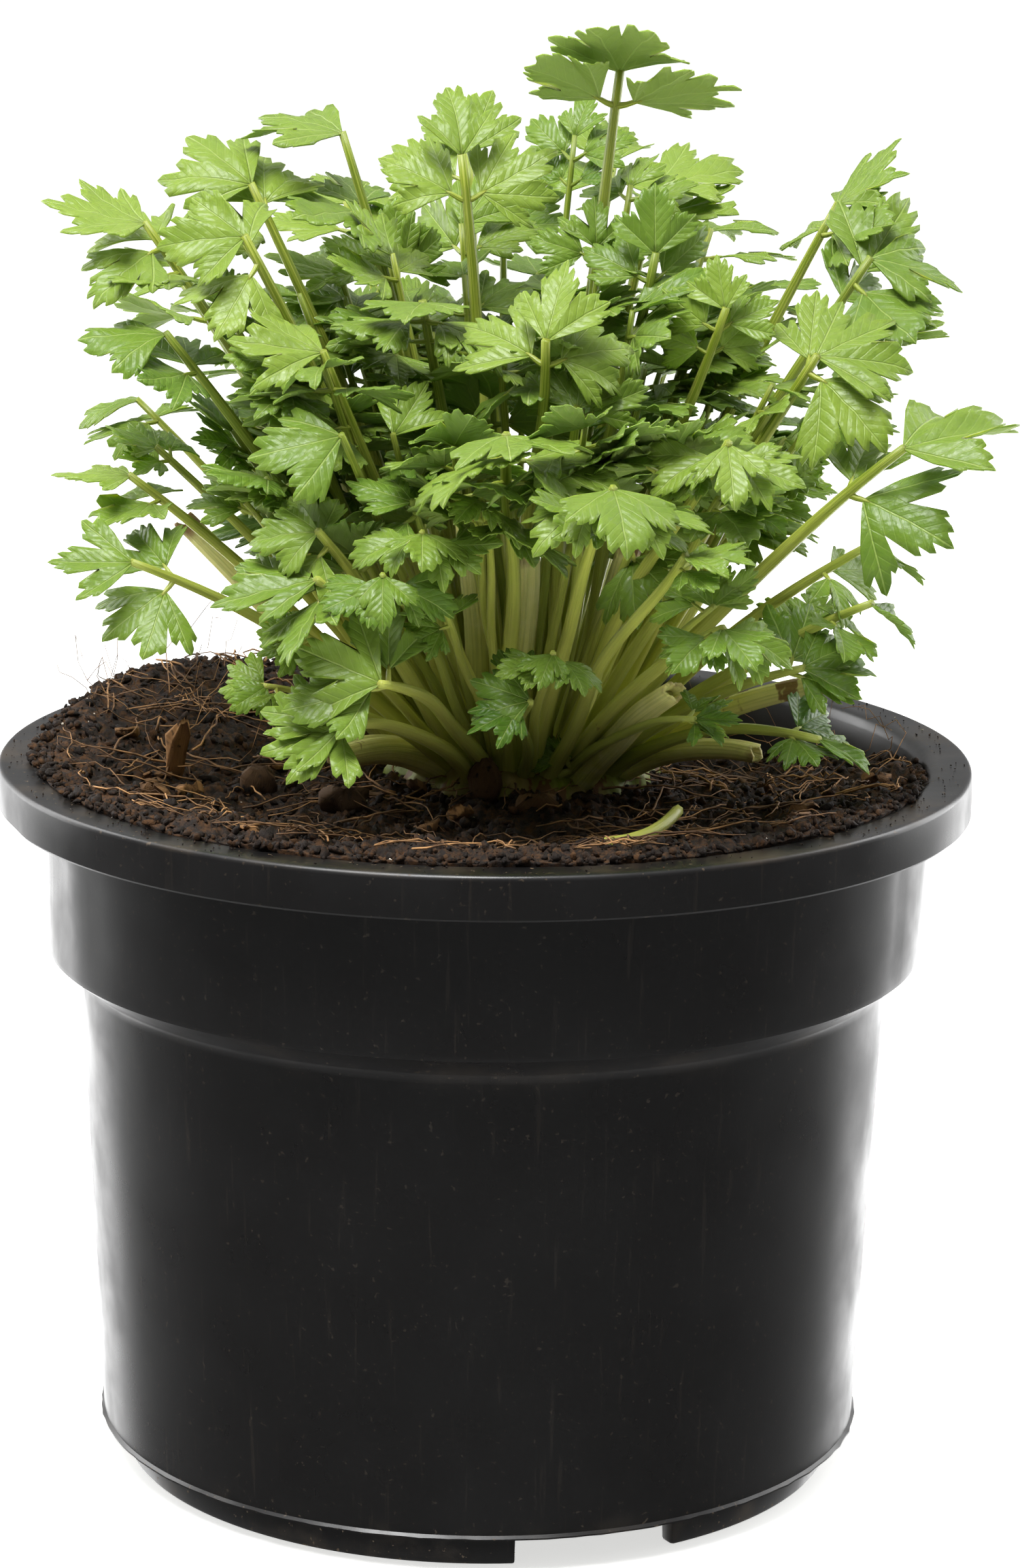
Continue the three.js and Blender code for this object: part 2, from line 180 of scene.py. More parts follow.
# A leaflet is how far its sinuses reach out, and its lobes: for each, the angle of its vein from
# the middle, the angle it takes up on each side of the vein, the length of the vein, and the
# teeth on each side of its tip.
LEAFLET_SHAPES = [
    (0.58, [(-46, 21, 0.82, 2), (0, 25, 1.00, 2), (46, 21, 0.82, 2)]),
    (0.64, [(-62, 14, 0.68, 1), (-33, 15, 0.88, 1), (0, 18, 1.00, 1), (33, 15, 0.88, 1),
            (62, 14, 0.68, 1)]),
    (0.52, [(-36, 17, 0.74, 1), (0, 19, 1.00, 2), (36, 17, 0.74, 1)]),
    (0.56, [(-50, 20, 0.88, 2), (-9, 21, 1.00, 2), (29, 17, 0.74, 1)]),
    (0.56, [(50, 20, 0.88, 2), (9, 21, 1.00, 2), (-29, 17, 0.74, 1)]),
    (0.58, [(-52, 17, 0.86, 1), (-18, 17, 0.98, 1), (17, 18, 1.00, 1), (51, 16, 0.82, 1)]),
    (0.42, [(-44, 16, 0.88, 1), (0, 19, 1.00, 2), (44, 16, 0.88, 1)]),
]
LEAFLET_ROWS = 6
HIDDEN_LEAFLET_ROWS = 3   # for the leaves inside and behind
LEAFLET_GROWTH = 0.99     # length of a blade for each millimetre in its row
BLADE_THICKNESS = 0.016   # for a leaflet one unit long

# The pot's drain holes and feet, and the sides of the soil as [radius, drop from the ring above].
DRAINS, DRAIN_RING, DRAIN_RADIUS = 8, 55, 4
FEET, FOOT_START, FOOT_SWEEP = 3, -84.0, 94.4
SOIL_RIM_ALLOWANCE = 2.7
SOIL_SHOULDER = 84.6
SOIL_SIDES = ((83.9, 16), (77.6, 6), (73.6, 88))


# ---- Sizes and colours a user may change ------------------------------------------------------

def length(name, text, default):
    return FloatProperty(name=name, description=text, default=default * MM, min=0, unit="LENGTH")


def rgb(hex_colour):
    """An sRGB hex colour as linear red, green and blue."""
    parts = [int(hex_colour[i:i + 2], 16) / 255 for i in (1, 3, 5)]
    return tuple(p / 12.92 if p <= 0.04045 else ((p + 0.055) / 1.055) ** 2.4 for p in parts)


def colour(name, text, hex_colour):
    return FloatVectorProperty(
        name=name, description=text, default=rgb(hex_colour), subtype="COLOR", min=0, max=1)


class PotSettings(bpy.types.PropertyGroup):
    rim: length("Rim radius", "Outside of the rolled rim", 95)
    height: length("Height", "Floor to the top of the rim", 140)
    band: length("Rim band", "Height of the rim's outer band", 8.5)
    wall: length("Wall", "Thickness of the moulded wall", 1.3)
    foot: length("Foot", "Height of the foot ring", 7)
    sides: IntProperty(name="Sides", description="Facets round the pot", default=180, min=24)
    plastic: colour("Plastic", "Recycled black polypropylene", "#131212")
    dust: colour("Dust", "Dry soil left on the plastic", "#8a7458")


class SoilSettings(bpy.types.PropertyGroup):
    radius: length("Soil radius", "Where the soil meets the wall", 85.4)
    level: length("Soil level", "Height of the soil at the wall", 132)
    crumbs: IntProperty(name="Crumbs", description="Loose crumbs on the soil", default=8600, min=0)
    fibres: IntProperty(name="Fibres", description="Loose roots and fibres", default=340, min=0)
    peat: colour("Peat", "Moist dark peat", "#1a110b")
    light_peat: colour("Dry peat", "Drier crumbs and fibres", "#533a25")
    fibre: colour("Fibre", "Coir and dry roots", "#c4935f")
    bark: colour("Bark", "Composted bark", "#b08150")


class PlantSettings(bpy.types.PropertyGroup):
    # Leaf green runs from the darker to the brighter of these two greens. This is mostly painted shade:
    # leaves lower down and further in get the darker green, and some of the change is random tone.
    bright_lit_leaf: colour("Bright lit leaf", "The brightest leaflets", "#7f953a")
    dark_shaded_leaf: colour("Dark shaded leaf", "The darkest leaflets", "#416418")
    under: colour("Underside", "Paler back of a leaflet", "#8a9f57")
    vein: colour("Vein", "Veins of a leaflet", "#a6b96a")
    stalk: colour("Stalk", "Green of the leaf stalks", "#75861f")
    pale_stalk: colour("Pale stalk", "Foot of the stalks", "#cdcf68")
    straw: colour("Stub", "Skin of the cut stubs", "#dcd98a")
    scar: colour("Scar", "Dried cuts and scars", "#76502c")


class StageSettings(bpy.types.PropertyGroup):
    floor: colour("Floor", "Pale studio floor", "#f4f4f2")
    distance: length("Camera distance", "Camera to the pot's axis, level", 890)
    eye: length("Camera height", "Camera above the floor", 346)


# ---- Modelling helpers --------------------------------------------------------------------------

def deselect():
    if bpy.context.object and bpy.context.object.mode != "OBJECT":
        bpy.ops.object.mode_set(mode="OBJECT")
    bpy.ops.object.select_all(action="DESELECT")


def extrude(x, y, z):
    bpy.ops.mesh.extrude_region_move(TRANSFORM_OT_translate={"value": (x, y, z)})


def face_outward():
    """Ends edit mode with every face pointing outward."""
    bpy.ops.mesh.select_all(action="SELECT")
    bpy.ops.mesh.normals_make_consistent(inside=False)
    bpy.ops.object.mode_set(mode="OBJECT")


def turn_profile(name, profile, sides, centre=(0, 0)):
    """A circle at the first [radius, height], extruded and scaled ring by ring, closed."""
    deselect()
    radius, height = profile[0]
    bpy.ops.mesh.primitive_circle_add(
        vertices=sides, radius=radius * MM, fill_type="NGON",
        location=(centre[0] * MM, centre[1] * MM, height * MM))
    obj = bpy.context.object
    obj.name = name
    bpy.ops.object.mode_set(mode="EDIT")
    for next_radius, next_height in profile[1:]:
        extrude(0, 0, (next_height - height) * MM)
        ratio = next_radius / radius
        bpy.ops.transform.resize(value=(ratio, ratio, 1))
        radius, height = next_radius, next_height
    face_outward()
    bpy.ops.object.transform_apply(location=True, rotation=True, scale=True)
    return obj


def apply_modifier(obj, kind, **settings):
    modifier = obj.modifiers.new(kind.title(), kind)
    for key, value in settings.items():
        setattr(modifier, key, value)
    bpy.context.view_layer.objects.active = obj
    bpy.ops.object.modifier_apply(modifier=modifier.name)


def points_of(obj):
    points = np.empty(len(obj.data.vertices) * 3)
    obj.data.vertices.foreach_get("co", points)
    return points.reshape(-1, 3)


def move_points(obj, points):
    obj.data.vertices.foreach_set("co", np.ascontiguousarray(points).ravel())
    obj.data.update()


def take_shape(obj):
    """A finished master as plain arrays. The master itself is removed."""
    mesh = obj.data
    corners = np.empty(len(mesh.loops), np.int32)
    mesh.loops.foreach_get("vertex_index", corners)
    starts = np.empty(len(mesh.polygons), np.int32)
    mesh.polygons.foreach_get("loop_start", starts)
    slots = np.empty(len(mesh.polygons), np.int32)
    mesh.polygons.foreach_get("material_index", slots)
    uv = np.zeros((len(corners), 2))
    if mesh.uv_layers.active:
        flat = np.empty(len(corners) * 2)
        mesh.uv_layers.active.data.foreach_get("uv", flat)
        uv = flat.reshape(-1, 2)
    shape = SimpleNamespace(points=points_of(obj), corners=corners, starts=starts, slots=slots, uv=uv)
    for name in ("vein", "edge"):
        if name in mesh.attributes:
            values = np.empty(len(mesh.vertices))
            mesh.attributes[name].data.foreach_get("value", values)
            setattr(shape, name, values)
    bpy.data.objects.remove(obj)
    return shape


class Pile:
    """Copies of masters, each with its own points, that become one mesh."""

    def __init__(self):
        self.points, self.corners, self.starts, self.slots = [], [], [], []
        self.uv, self.tones = [], []
        self.count = 0
        self.corner_count = 0

    def add(self, shape, points, tone=0.5, slot=0, uv=None):
        self.points.append(points)
        self.corners.append(shape.corners + self.count)
        self.starts.append(shape.starts + self.corner_count)
        self.slots.append(shape.slots + slot)
        self.uv.append(shape.uv if uv is None else uv)
        self.tones.append(np.full(len(points), tone))
        self.count += len(points)
        self.corner_count += len(shape.corners)

    def build(self, name, materials):
        mesh = bpy.data.meshes.new(name)
        mesh.vertices.add(self.count)
        mesh.vertices.foreach_set("co", (np.concatenate(self.points) * MM).ravel())
        mesh.loops.add(self.corner_count)
        mesh.loops.foreach_set("vertex_index", np.concatenate(self.corners))
        starts = np.concatenate(self.starts)
        mesh.polygons.add(len(starts))
        mesh.polygons.foreach_set("loop_start", starts)
        mesh.polygons.foreach_set("material_index", np.concatenate(self.slots))
        mesh.polygons.foreach_set("use_smooth", np.ones(len(starts), bool))
        mesh.update(calc_edges=True)
        mesh.uv_layers.new(name="lie").data.foreach_set("uv", np.concatenate(self.uv).ravel())
        tone = mesh.attributes.new("tone", "FLOAT", "POINT")
        tone.data.foreach_set("value", np.concatenate(self.tones))
        for material in materials:
            mesh.materials.append(material)
        mesh.validate()
        obj = bpy.data.objects.new(name, mesh)
        bpy.context.scene.collection.objects.link(obj)
        return obj


def hand_over(obj, slot, *nodes):
    """The piece rides on the one body, and stands for these nodes."""
    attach(obj, "root")
    if nodes:
        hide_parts(*nodes)


def model_tube(sides, steps, ribs=0.0, hollow=0.0):
    """A rod one unit long and one unit in radius along +Z, ribbed, with a hollow end if asked."""
    deselect()
    bpy.ops.mesh.primitive_circle_add(vertices=sides, radius=1, fill_type="NGON")
    obj = bpy.context.object
    bpy.ops.object.mode_set(mode="EDIT")
    for _ in range(steps):
        extrude(0, 0, 1 / steps)
    if hollow:
        bpy.ops.mesh.inset(thickness=0.32)
        extrude(0, 0, -hollow)
        bpy.ops.transform.resize(value=(0.8, 0.8, 1))
    face_outward()
    points = points_of(obj)
    angle = np.arctan2(points[:, 1], points[:, 0])
    swell = 1 + ribs * np.cos(angle * sides / 2)
    points[:, 0] *= swell
    points[:, 1] *= swell
    move_points(obj, points)
    shape = take_shape(obj)
    around = np.arctan2(shape.points[:, 1], shape.points[:, 0]) / TURN + 0.5
    shape.uv = np.stack([around[shape.corners], shape.points[shape.corners, 2]], axis=1)
    ends = np.append(shape.starts[1:], len(shape.corners))
    for start, end in zip(shape.starts, ends):
        part = shape.uv[start:end, 0]
        if end - start == 4 and part.max() - part.min() > 0.5:
            part[part < 0.5] += 1
    return shape


def lay_tube(shape, path, radii, side):
    """The rod laid along a path of points, with a radius at each of them."""
    path = np.asarray(path, float)
    place = shape.points[:, 2] * (len(path) - 1)
    low = np.clip(np.floor(place).astype(int), 0, len(path) - 2)
    part = (place - low)[:, None]
    tangents = np.gradient(path, axis=0)
    tangents /= np.linalg.norm(tangents, axis=1)[:, None]
    centre = path[low] * (1 - part) + path[low + 1] * part
    tangent = tangents[low] * (1 - part) + tangents[low + 1] * part
    tangent /= np.linalg.norm(tangent, axis=1)[:, None]
    radii = np.asarray(radii, float)
    radius = radii[low] * (1 - part[:, 0]) + radii[low + 1] * part[:, 0]
    side = np.asarray(side, float) - tangent * (tangent @ np.asarray(side, float))[:, None]
    side /= np.linalg.norm(side, axis=1)[:, None]
    up = np.cross(tangent, side)
    return centre + (side * shape.points[:, :1] + up * shape.points[:, 1:2]) * radius[:, None]


def tube_uv(shape, path_length, radius):
    """Lie of a tube: once round it across, and the millimetres to its far end along, in tens."""
    uv = shape.uv.copy()
    uv[:, 0] *= radius * 0.6
    uv[:, 1] = (1 - uv[:, 1]) * path_length / 10
    return uv


# ---- Leaflets -------------------------------------------------------------------------------------

def leaflet_margin(sinus, lobes, rng):
    """The margin from one side to the other: angle, reach, and lobe of each column of the blade."""
    columns = [(lobes[0][0] - lobes[0][1], 0.55 * lobes[0][2], 0)]
    for number, (vein, half, reach, side_teeth) in enumerate(lobes):
        teeth = 2 * side_teeth + 1
        step = 2 * half / teeth
        for tooth in range(teeth):
            lean = (tooth - side_teeth) / (side_teeth + 0.5)
            tip = reach * (1 - 0.24 * abs(lean) ** 1.4) * rng.uniform(0.97, 1.03)
            left = vein - half + tooth * step
            crest = left + step * (0.5 - 0.15 * lean)
            last = tooth == teeth - 1
            if not last:
                notch = tip * 0.90
            elif number + 1 < len(lobes):
                notch = sinus * min(reach, lobes[number + 1][2])
            else:
                notch = 0.55 * reach
            columns.append((left + 0.22 * step, tip * 0.945, number))
            columns.append((crest, tip, number))
            columns.append((left + 0.80 * step, tip * 0.945, number))
            columns.append((left + step, notch, number))
    return columns


def model_leaflet(sinus, lobes, seed, rows):
    """A grid drawn out from the foot of the blade to its toothed margin, and thickened."""
    rng = random.Random(seed)
    lobes = sorted(lobes)
    columns = leaflet_margin(sinus, lobes, rng)
    deselect()
    bpy.ops.mesh.primitive_grid_add(
        x_subdivisions=len(columns) - 1, y_subdivisions=rows, size=2)
    obj = bpy.context.object
    mesh = obj.data
    points = points_of(obj)
    column = np.rint((1 - points[:, 0]) / 2 * (len(columns) - 1)).astype(int)
    row = np.rint((points[:, 1] + 1) / 2 * rows)
    angle = np.radians([c[0] for c in columns])[column]
    share = (row / rows) ** 0.9
    reach = np.array([c[1] for c in columns])[column] * share
    # The inner rows keep the full fan, so the teeth show only near the margin.
    smooth = np.convolve(np.pad([c[1] for c in columns], 3, mode="edge"), np.ones(7) / 7, "valid")
    even = smooth[column] * share
    reach = even * (1 - share ** 3) + reach * share ** 3
    points[:, 0] = reach * np.cos(angle)
    points[:, 1] = reach * np.sin(angle)
    move_points(obj, points)
    veins = np.radians([lobe[0] for lobe in lobes])
    uv = mesh.uv_layers.active or mesh.uv_layers.new(name="lie")
    nearest = np.min(np.abs(angle[:, None] - veins[None, :]), axis=1) * reach
    for face in mesh.polygons:
        middle = sorted(column[v] for v in face.vertices)
        lobe = columns[middle[-1]][2]
        for corner in face.loop_indices:
            v = mesh.loops[corner].vertex_index
            uv.data[corner].uv = ((angle[v] - veins[lobe]) * reach[v], reach[v])
    for name, values in (("vein", nearest), ("edge", share)):
        mesh.attributes.new(name, "FLOAT", "POINT").data.foreach_set("value", values)
    mesh.materials.append(None)
    mesh.materials.append(None)
    bpy.ops.object.mode_set(mode="EDIT")
    bpy.ops.mesh.select_all(action="SELECT")
    bpy.ops.mesh.remove_doubles(threshold=1e-5)
    bpy.ops.object.mode_set(mode="OBJECT")
    if obj.data.polygons[len(obj.data.polygons) // 2].normal.z < 0:
        obj.data.flip_normals()
    apply_modifier(obj, "SOLIDIFY", thickness=BLADE_THICKNESS, offset=0, material_offset=1)
    return take_shape(obj)


def bend_leaflet(shape, size, rng, curl):
    """One copy of a leaflet: folded at the veins, ruffled at the margin and bent by its weight."""
    x, y, z = shape.points.T.copy()
    y = y * rng.uniform(0.88, 1.12)
    angle = np.arctan2(y, x + 1e-6)
    fold = rng.uniform(0.05, 0.4)
    z = z + fold * shape.vein
    z = z - rng.uniform(-0.25, 0.6) * y * y
    waves = rng.uniform(5, 9)
    phase = rng.uniform(0, TURN)
    z = z + rng.uniform(0.02, 0.06) * shape.edge ** 3 * np.sin(angle * waves + phase)
    z = z + 0.016 * np.sin(x * 17 + phase) * np.cos(y * 15 - phase) * np.minimum(1, x * 3)
    twist = rng.uniform(-0.5, 0.5) * x
    y, z = y * np.cos(twist) - z * np.sin(twist), y * np.sin(twist) + z * np.cos(twist)
    bend = curl + rng.uniform(-0.35, 0.7)
    if abs(bend) < 0.05:
        bend = 0.05
    arc = x * bend
    x, z = (np.sin(arc) / bend) + z * np.sin(arc), z * np.cos(arc) - (1 - np.cos(arc)) / bend
    return np.stack([x, y, z], axis=1) * size


def direction(heading, pitch):
    h, p = math.radians(heading), math.radians(pitch)
    return Vector((math.cos(p) * math.cos(h), math.cos(p) * math.sin(h), math.sin(p)))


# ---- Stalks -----------------------------------------------------------------------------------------

def plan_stalk(x, y, z, bow, radius):
    """Start, end and lean of a stalk, as the frame's own pieces have them."""
    end = Vector((x, y, z))
    level = Vector((x - CROWN.x, y - CROWN.y, 0))
    lean = math.atan2(level.length, z + bow - CROWN.z)
    start = Vector((CROWN.x, CROWN.y, 0)) + level.normalized() * CROWN_RADIUS * math.sin(lean)
    start.z = CROWN.z + CLEARANCE + radius * math.sin(lean)
    return SimpleNamespace(start=start, end=end, lean=lean, radius=radius)


def spread(plans):
    """Starts that stand too close together are pushed apart, a little at a time."""
    for _ in range(60):
        for i, a in enumerate(plans):
            for b in plans[i + 1:]:
                away = b.start - a.start
                away.z = 0
                needed = (a.radius + b.radius) * 1.25 + 2 * CLEARANCE
                distance = away.length
                if distance < needed:
                    away *= 0.5 * (needed - distance) / max(distance, 0.01)
                    a.start -= away
                    b.start += away


def stalk_path(plan, steps, sway=0.0, phase=0.0):
    """Points along the stalk, evenly spaced, that end at the last leaflet; and its side."""
    heading = math.atan2(plan.end.y - plan.start.y, plan.end.x - plan.start.x)
    rise = math.pi / 2 - plan.lean * 0.8
    first = direction(math.degrees(heading), math.degrees(rise))
    middle = plan.start + first * (plan.end - plan.start).length * 0.5
    t = np.linspace(0, 1, 120)[:, None]
    a, b, c = (np.array(p) for p in (plan.start, middle, plan.end))
    fine = a * (1 - t) ** 2 + 2 * b * t * (1 - t) + c * t ** 2
    side = np.array((-math.sin(heading), math.cos(heading), 0))
    fine += side * (np.sin(math.pi * t) * np.sin(TURN * t + phase) * sway)
    foot = fine[0] - (fine[1] - fine[0]) / np.linalg.norm(fine[1] - fine[0]) * 6
    fine = np.vstack([foot, fine])
    run = np.concatenate([[0], np.cumsum(np.linalg.norm(np.diff(fine, axis=0), axis=1))])
    even = np.linspace(0, run[-1], steps + 1)
    path = np.stack([np.interp(even, run, fine[:, i]) for i in range(3)], axis=1)
    return SimpleNamespace(path=path, fine=fine, run=run, side=side)


def point_before_end(stalk, distance):
    at = stalk.run[-1] - distance
    return Vector([np.interp(at, stalk.run, stalk.fine[:, i]) for i in range(3)])


def model_masters(rows):
    return SimpleNamespace(
        stalk=model_tube(12, 18, ribs=0.07),
        thread=model_tube(6, 5),
        blades=[model_leaflet(*kind, i, rows) for i, kind in enumerate(LEAFLET_SHAPES)],
    )


def place_leaflet(pile, masters, base, along, face, size, tone, rng, droop, stem):
    """A short stem and its blade."""
    along = along.normalized()
    across = face.cross(along).normalized()
    face = along.cross(across)
    foot = base + along * stem
    if stem > 0:
        middle = base + along * stem * 0.5 - Vector((0, 0, 1)) * stem * 0.06
        path = [base, middle, foot, foot + along * size * 0.08]
        radius = 0.3 + 0.022 * size
        pile.add(masters.thread, lay_tube(masters.thread, path, [radius, radius * 0.8,
                 radius * 0.7, radius * 0.35], across), tone, 0,
                 tube_uv(masters.thread, stem, radius))
    blade = masters.blades[rng.randrange(len(masters.blades))]
    points = bend_leaflet(blade, size, rng, droop)
    turn = np.array([along, across, face])
    shade = min(1.0, max(0.0, tone + rng.uniform(-0.12, 0.12)))
    pile.add(blade, points @ turn + np.array(foot), shade, 1, blade.uv)


def grow_leaf(pile, masters, row, plan, seed):
    """One leaf: its ribbed stalk, the last leaflet and the pairs of side leaflets."""
    x, y, z, bow, heading, pitch, roll, size, pairs, gap = row
    size *= LEAFLET_GROWTH
    rng = random.Random(seed)
    stalk = stalk_path(plan, 18, sway=rng.uniform(0.5, 2.0), phase=rng.uniform(0, TURN))
    share = np.linspace(0, 1, len(stalk.path))
    radii = plan.radius * (1.3 - 0.6 * share ** 0.6 - 0.15 * share ** 4)
    radii[0:3] *= [1.35, 1.2, 1.05]
    reach = math.hypot(x - CROWN.x, y - CROWN.y) / 90
    # Painted shade: the tone sets how dark a stalk and its leaflets are. It is lower for leaves lower
    # down and nearer the middle, where the plant shades itself, and it has a random part besides.
    tone = 0.1 + 0.5 * (z - 150) / 110 + 0.25 * reach + rng.uniform(-0.22, 0.22)
    pile.add(masters.stalk, lay_tube(masters.stalk, stalk.path, radii, stalk.side), tone, 0,
             tube_uv(masters.stalk, stalk.run[-1], plan.radius))
    along = direction(heading, pitch)
    face = Matrix.Rotation(math.radians(roll), 3, along) @ direction(heading, pitch + 90)
    side = along.cross(face)
    place_leaflet(pile, masters, point_before_end(stalk, 0.5), along, face, size, tone, rng, 0.1, 0)
    for pair in range(1, pairs + 1):
        base = point_before_end(stalk, pair * gap)
        for hand in (-1, 1):
            out = along * (0.5 + rng.uniform(-0.12, 0.12)) + side * 0.86 * hand
            out += face * rng.uniform(-0.15, 0.15)
            if base.z < 178:
                out.z = max(out.z, -0.2)
            tilt = Matrix.Rotation(rng.uniform(-0.35, 0.35), 3, out.normalized())
            leaflet = size * (1.12 - 0.15 * pair) * rng.uniform(0.9, 1.1)
            place_leaflet(pile, masters, base, out, tilt @ face, leaflet, tone, rng, 0.15,
                          1.2 + 0.12 * leaflet)


def crowd_leaves(seed, count):
    """Rows for the leaves that fill the inside of the plant, under a dome."""
    rng = random.Random(seed)
    rows = []
    while len(rows) < count:
        heading = rng.uniform(0, 360)
        out = 57 * math.sqrt(rng.random())
        top = 246 - 42 * (out / 66) ** 2
        z = rng.uniform(182 + 0.25 * (66 - out), top)
        x = out * math.cos(math.radians(heading)) + 2
        y = out * math.sin(math.radians(heading)) - 2
        pitch = rng.uniform(0, 60) * (1 - 0.5 * out / 66)
        rows.append((x, y, z, rng.uniform(0, 6), heading + rng.uniform(-40, 40), pitch,
                     rng.uniform(-25, 25), rng.uniform(13, 18), rng.choice((1, 1, 2)),
                     rng.uniform(5, 8)))
    return rows


# ---- Soil ---------------------------------------------------------------------------------------------

def wall_share(x, y):
    """How full the pot is towards the wall: 1 where soil spills on the lip, 0 at the back right."""
    away = abs((math.degrees(math.atan2(y, x)) - 47 + 180) % 360 - 180)
    share = min(1, max(0, (away - 38) / 45))
    return share * share * (3 - 2 * share)


def soil_height(x, y):
    """Soil that climbs to the wall, mounds round the crown and at the back left, and sinks behind."""
    mound = 4 * math.exp(-((x - CROWN.x) ** 2 + (y - CROWN.y) ** 2) / 38 ** 2)
    left = 6 * math.exp(-((x + 55) ** 2 + (y - 42) ** 2) / 34 ** 2)
    right = -12 * math.exp(-((x - 55) ** 2 + (y - 52) ** 2) / 34 ** 2)
    climb = min(1, max(0, (math.hypot(x, y) - 45) / 42))
    rise = (5 + 3.2 * wall_share(x, y)) * climb * climb * (3 - 2 * climb)
    return bpy.context.scene.celery_soil.level / MM + mound + left + right + rise


def soil_surface(x, y):
    """The soil's height in millimetres with its lumps and crumbs."""
    lumps = 1.9 * noise.noise(Vector((x / 15, y / 15, 3)))
    clods = 1.9 * noise.noise(Vector((x / 5.5, y / 5.5, 8)))
    crumbs = 1.9 * abs(noise.noise(Vector((x / 2.4, y / 2.4, 1))))
    grit = 0.8 * noise.noise(Vector((x / 1.1, y / 1.1, 5)))
    tame = min(1.0, max(0.3, (89 - math.hypot(x, y)) / 6))
    return soil_height(x, y) + (lumps + clods + crumbs + grit) * tame


# ---- Materials ----------------------------------------------------------------------------------------

def add(tree, kind, inputs=None, **settings):
    """Adds a node with its settings, and sets or links its inputs. Gives the node."""
    node = tree.nodes.new("ShaderNode" + kind)
    for key, value in settings.items():
        setattr(node, key, value)
    for key, value in (inputs or {}).items():
        if isinstance(value, bpy.types.NodeSocket):
            tree.links.new(value, node.inputs[key])
        else:
            node.inputs[key].default_value = value
    return node


def start_material(name):
    material = bpy.data.materials.new(name)
    material.use_nodes = True
    material.node_tree.nodes.clear()
    return material, material.node_tree


def end_material(tree, **sockets):
    inputs = {key.replace("_", " "): value for key, value in sockets.items()}
    shader = add(tree, "BsdfPrincipled", inputs)
    add(tree, "OutputMaterial", {"Surface": shader.outputs[0]})


def opaque(linear):
    return (*linear[:3], 1)


def blend_colours(tree, share, a, b):
    """Colour a, going to b with the share. Each is a colour or a socket."""
    node = add(tree, "Mix", {0: share}, data_type="RGBA")
    for index, value in ((6, a), (7, b)):
        if isinstance(value, bpy.types.NodeSocket):
            tree.links.new(value, node.inputs[index])
        else:
            node.inputs[index].default_value = opaque(value)
    return node.outputs[2]


def calculate(tree, operation, a, b=0.0, clamp=False):
    return add(tree, "Math", {0: a, 1: b}, operation=operation, use_clamp=clamp).outputs[0]


def between(tree, value, low, high, to_low=0.0, to_high=1.0):
    """The value from low to high, smoothly, as to_low to to_high."""
    node = add(tree, "MapRange", {"Value": value, "From Min": low, "From Max": high,
               "To Min": to_low, "To Max": to_high}, interpolation_type="SMOOTHSTEP")
    return node.outputs[0]


def noise_of(tree, vector, scale, detail=3.0, rough=0.55):
    node = add(tree, "TexNoise", {"Vector": vector, "Scale": scale, "Detail": detail,
               "Roughness": rough})
    return node.outputs["Fac"]


def stretched(tree, vector, scale):
    return add(tree, "Mapping", {"Vector": vector, "Scale": scale}).outputs[0]


def bump(tree, height, distance, strength=1.0, under=None):
    inputs = {"Height": height, "Distance": distance, "Strength": strength}
    if under is not None:
        inputs["Normal"] = under
    return add(tree, "Bump", inputs).outputs[0]


def recycled_polypropylene(settings):
    """Injection-moulded black polypropylene with recycled content: a deep black with a satin
    skin, fine upright scratches from stacking, and dried soil where water left it."""
    material, tree = start_material("recycled_polypropylene")
    place = add(tree, "TexCoord").outputs["Object"]
    height = add(tree, "SeparateXYZ", {0: place}).outputs["Z"]
    scratches = noise_of(tree, stretched(tree, place, (900, 900, 28)), 1.0, 4)
    scratch = between(tree, scratches, 0.60, 0.70)
    smudges = noise_of(tree, place, 45, 4)
    specks = between(tree, noise_of(tree, place, 900, 2), 0.66, 0.72)
    patches = between(tree, noise_of(tree, place, 70, 5), 0.45, 0.72)
    top = between(tree, height, 0.1388, 0.1402)
    ledge = calculate(tree, "MULTIPLY", between(tree, height, 0.094, 0.099),
                      between(tree, height, 0.1045, 0.101))
    foot = between(tree, height, 0.012, 0.002)
    ledge = calculate(tree, "MULTIPLY", ledge, 0.25)
    where = calculate(tree, "MAXIMUM", top, calculate(tree, "MAXIMUM", ledge, foot))
    dust = calculate(tree, "MULTIPLY", calculate(tree, "MULTIPLY", patches, where), 0.12)
    dust = calculate(tree, "MAXIMUM", dust, calculate(tree, "MULTIPLY", specks,
                     between(tree, where, 0, 1, 0.06, 0.4)))
    dust = calculate(tree, "ADD", dust, calculate(tree, "MULTIPLY", scratch, 0.02), True)
    base = blend_colours(tree, dust, settings.plastic, settings.dust)
    gloss = calculate(tree, "ADD", between(tree, smudges, 0.3, 0.75, 0.26, 0.44),
                      calculate(tree, "MULTIPLY", dust, 0.5), True)
    grain = bump(tree, noise_of(tree, place, 2600, 2), 0.00002, 0.4)
    wavy = bump(tree, noise_of(tree, stretched(tree, place, (40, 40, 16)), 1.0, 1), 0.0004, 0.3, grain)
    end_material(tree, Base_Color=base, Roughness=gloss, IOR=1.49, Normal=wavy,
                 Specular_IOR_Level=0.6)
    return material


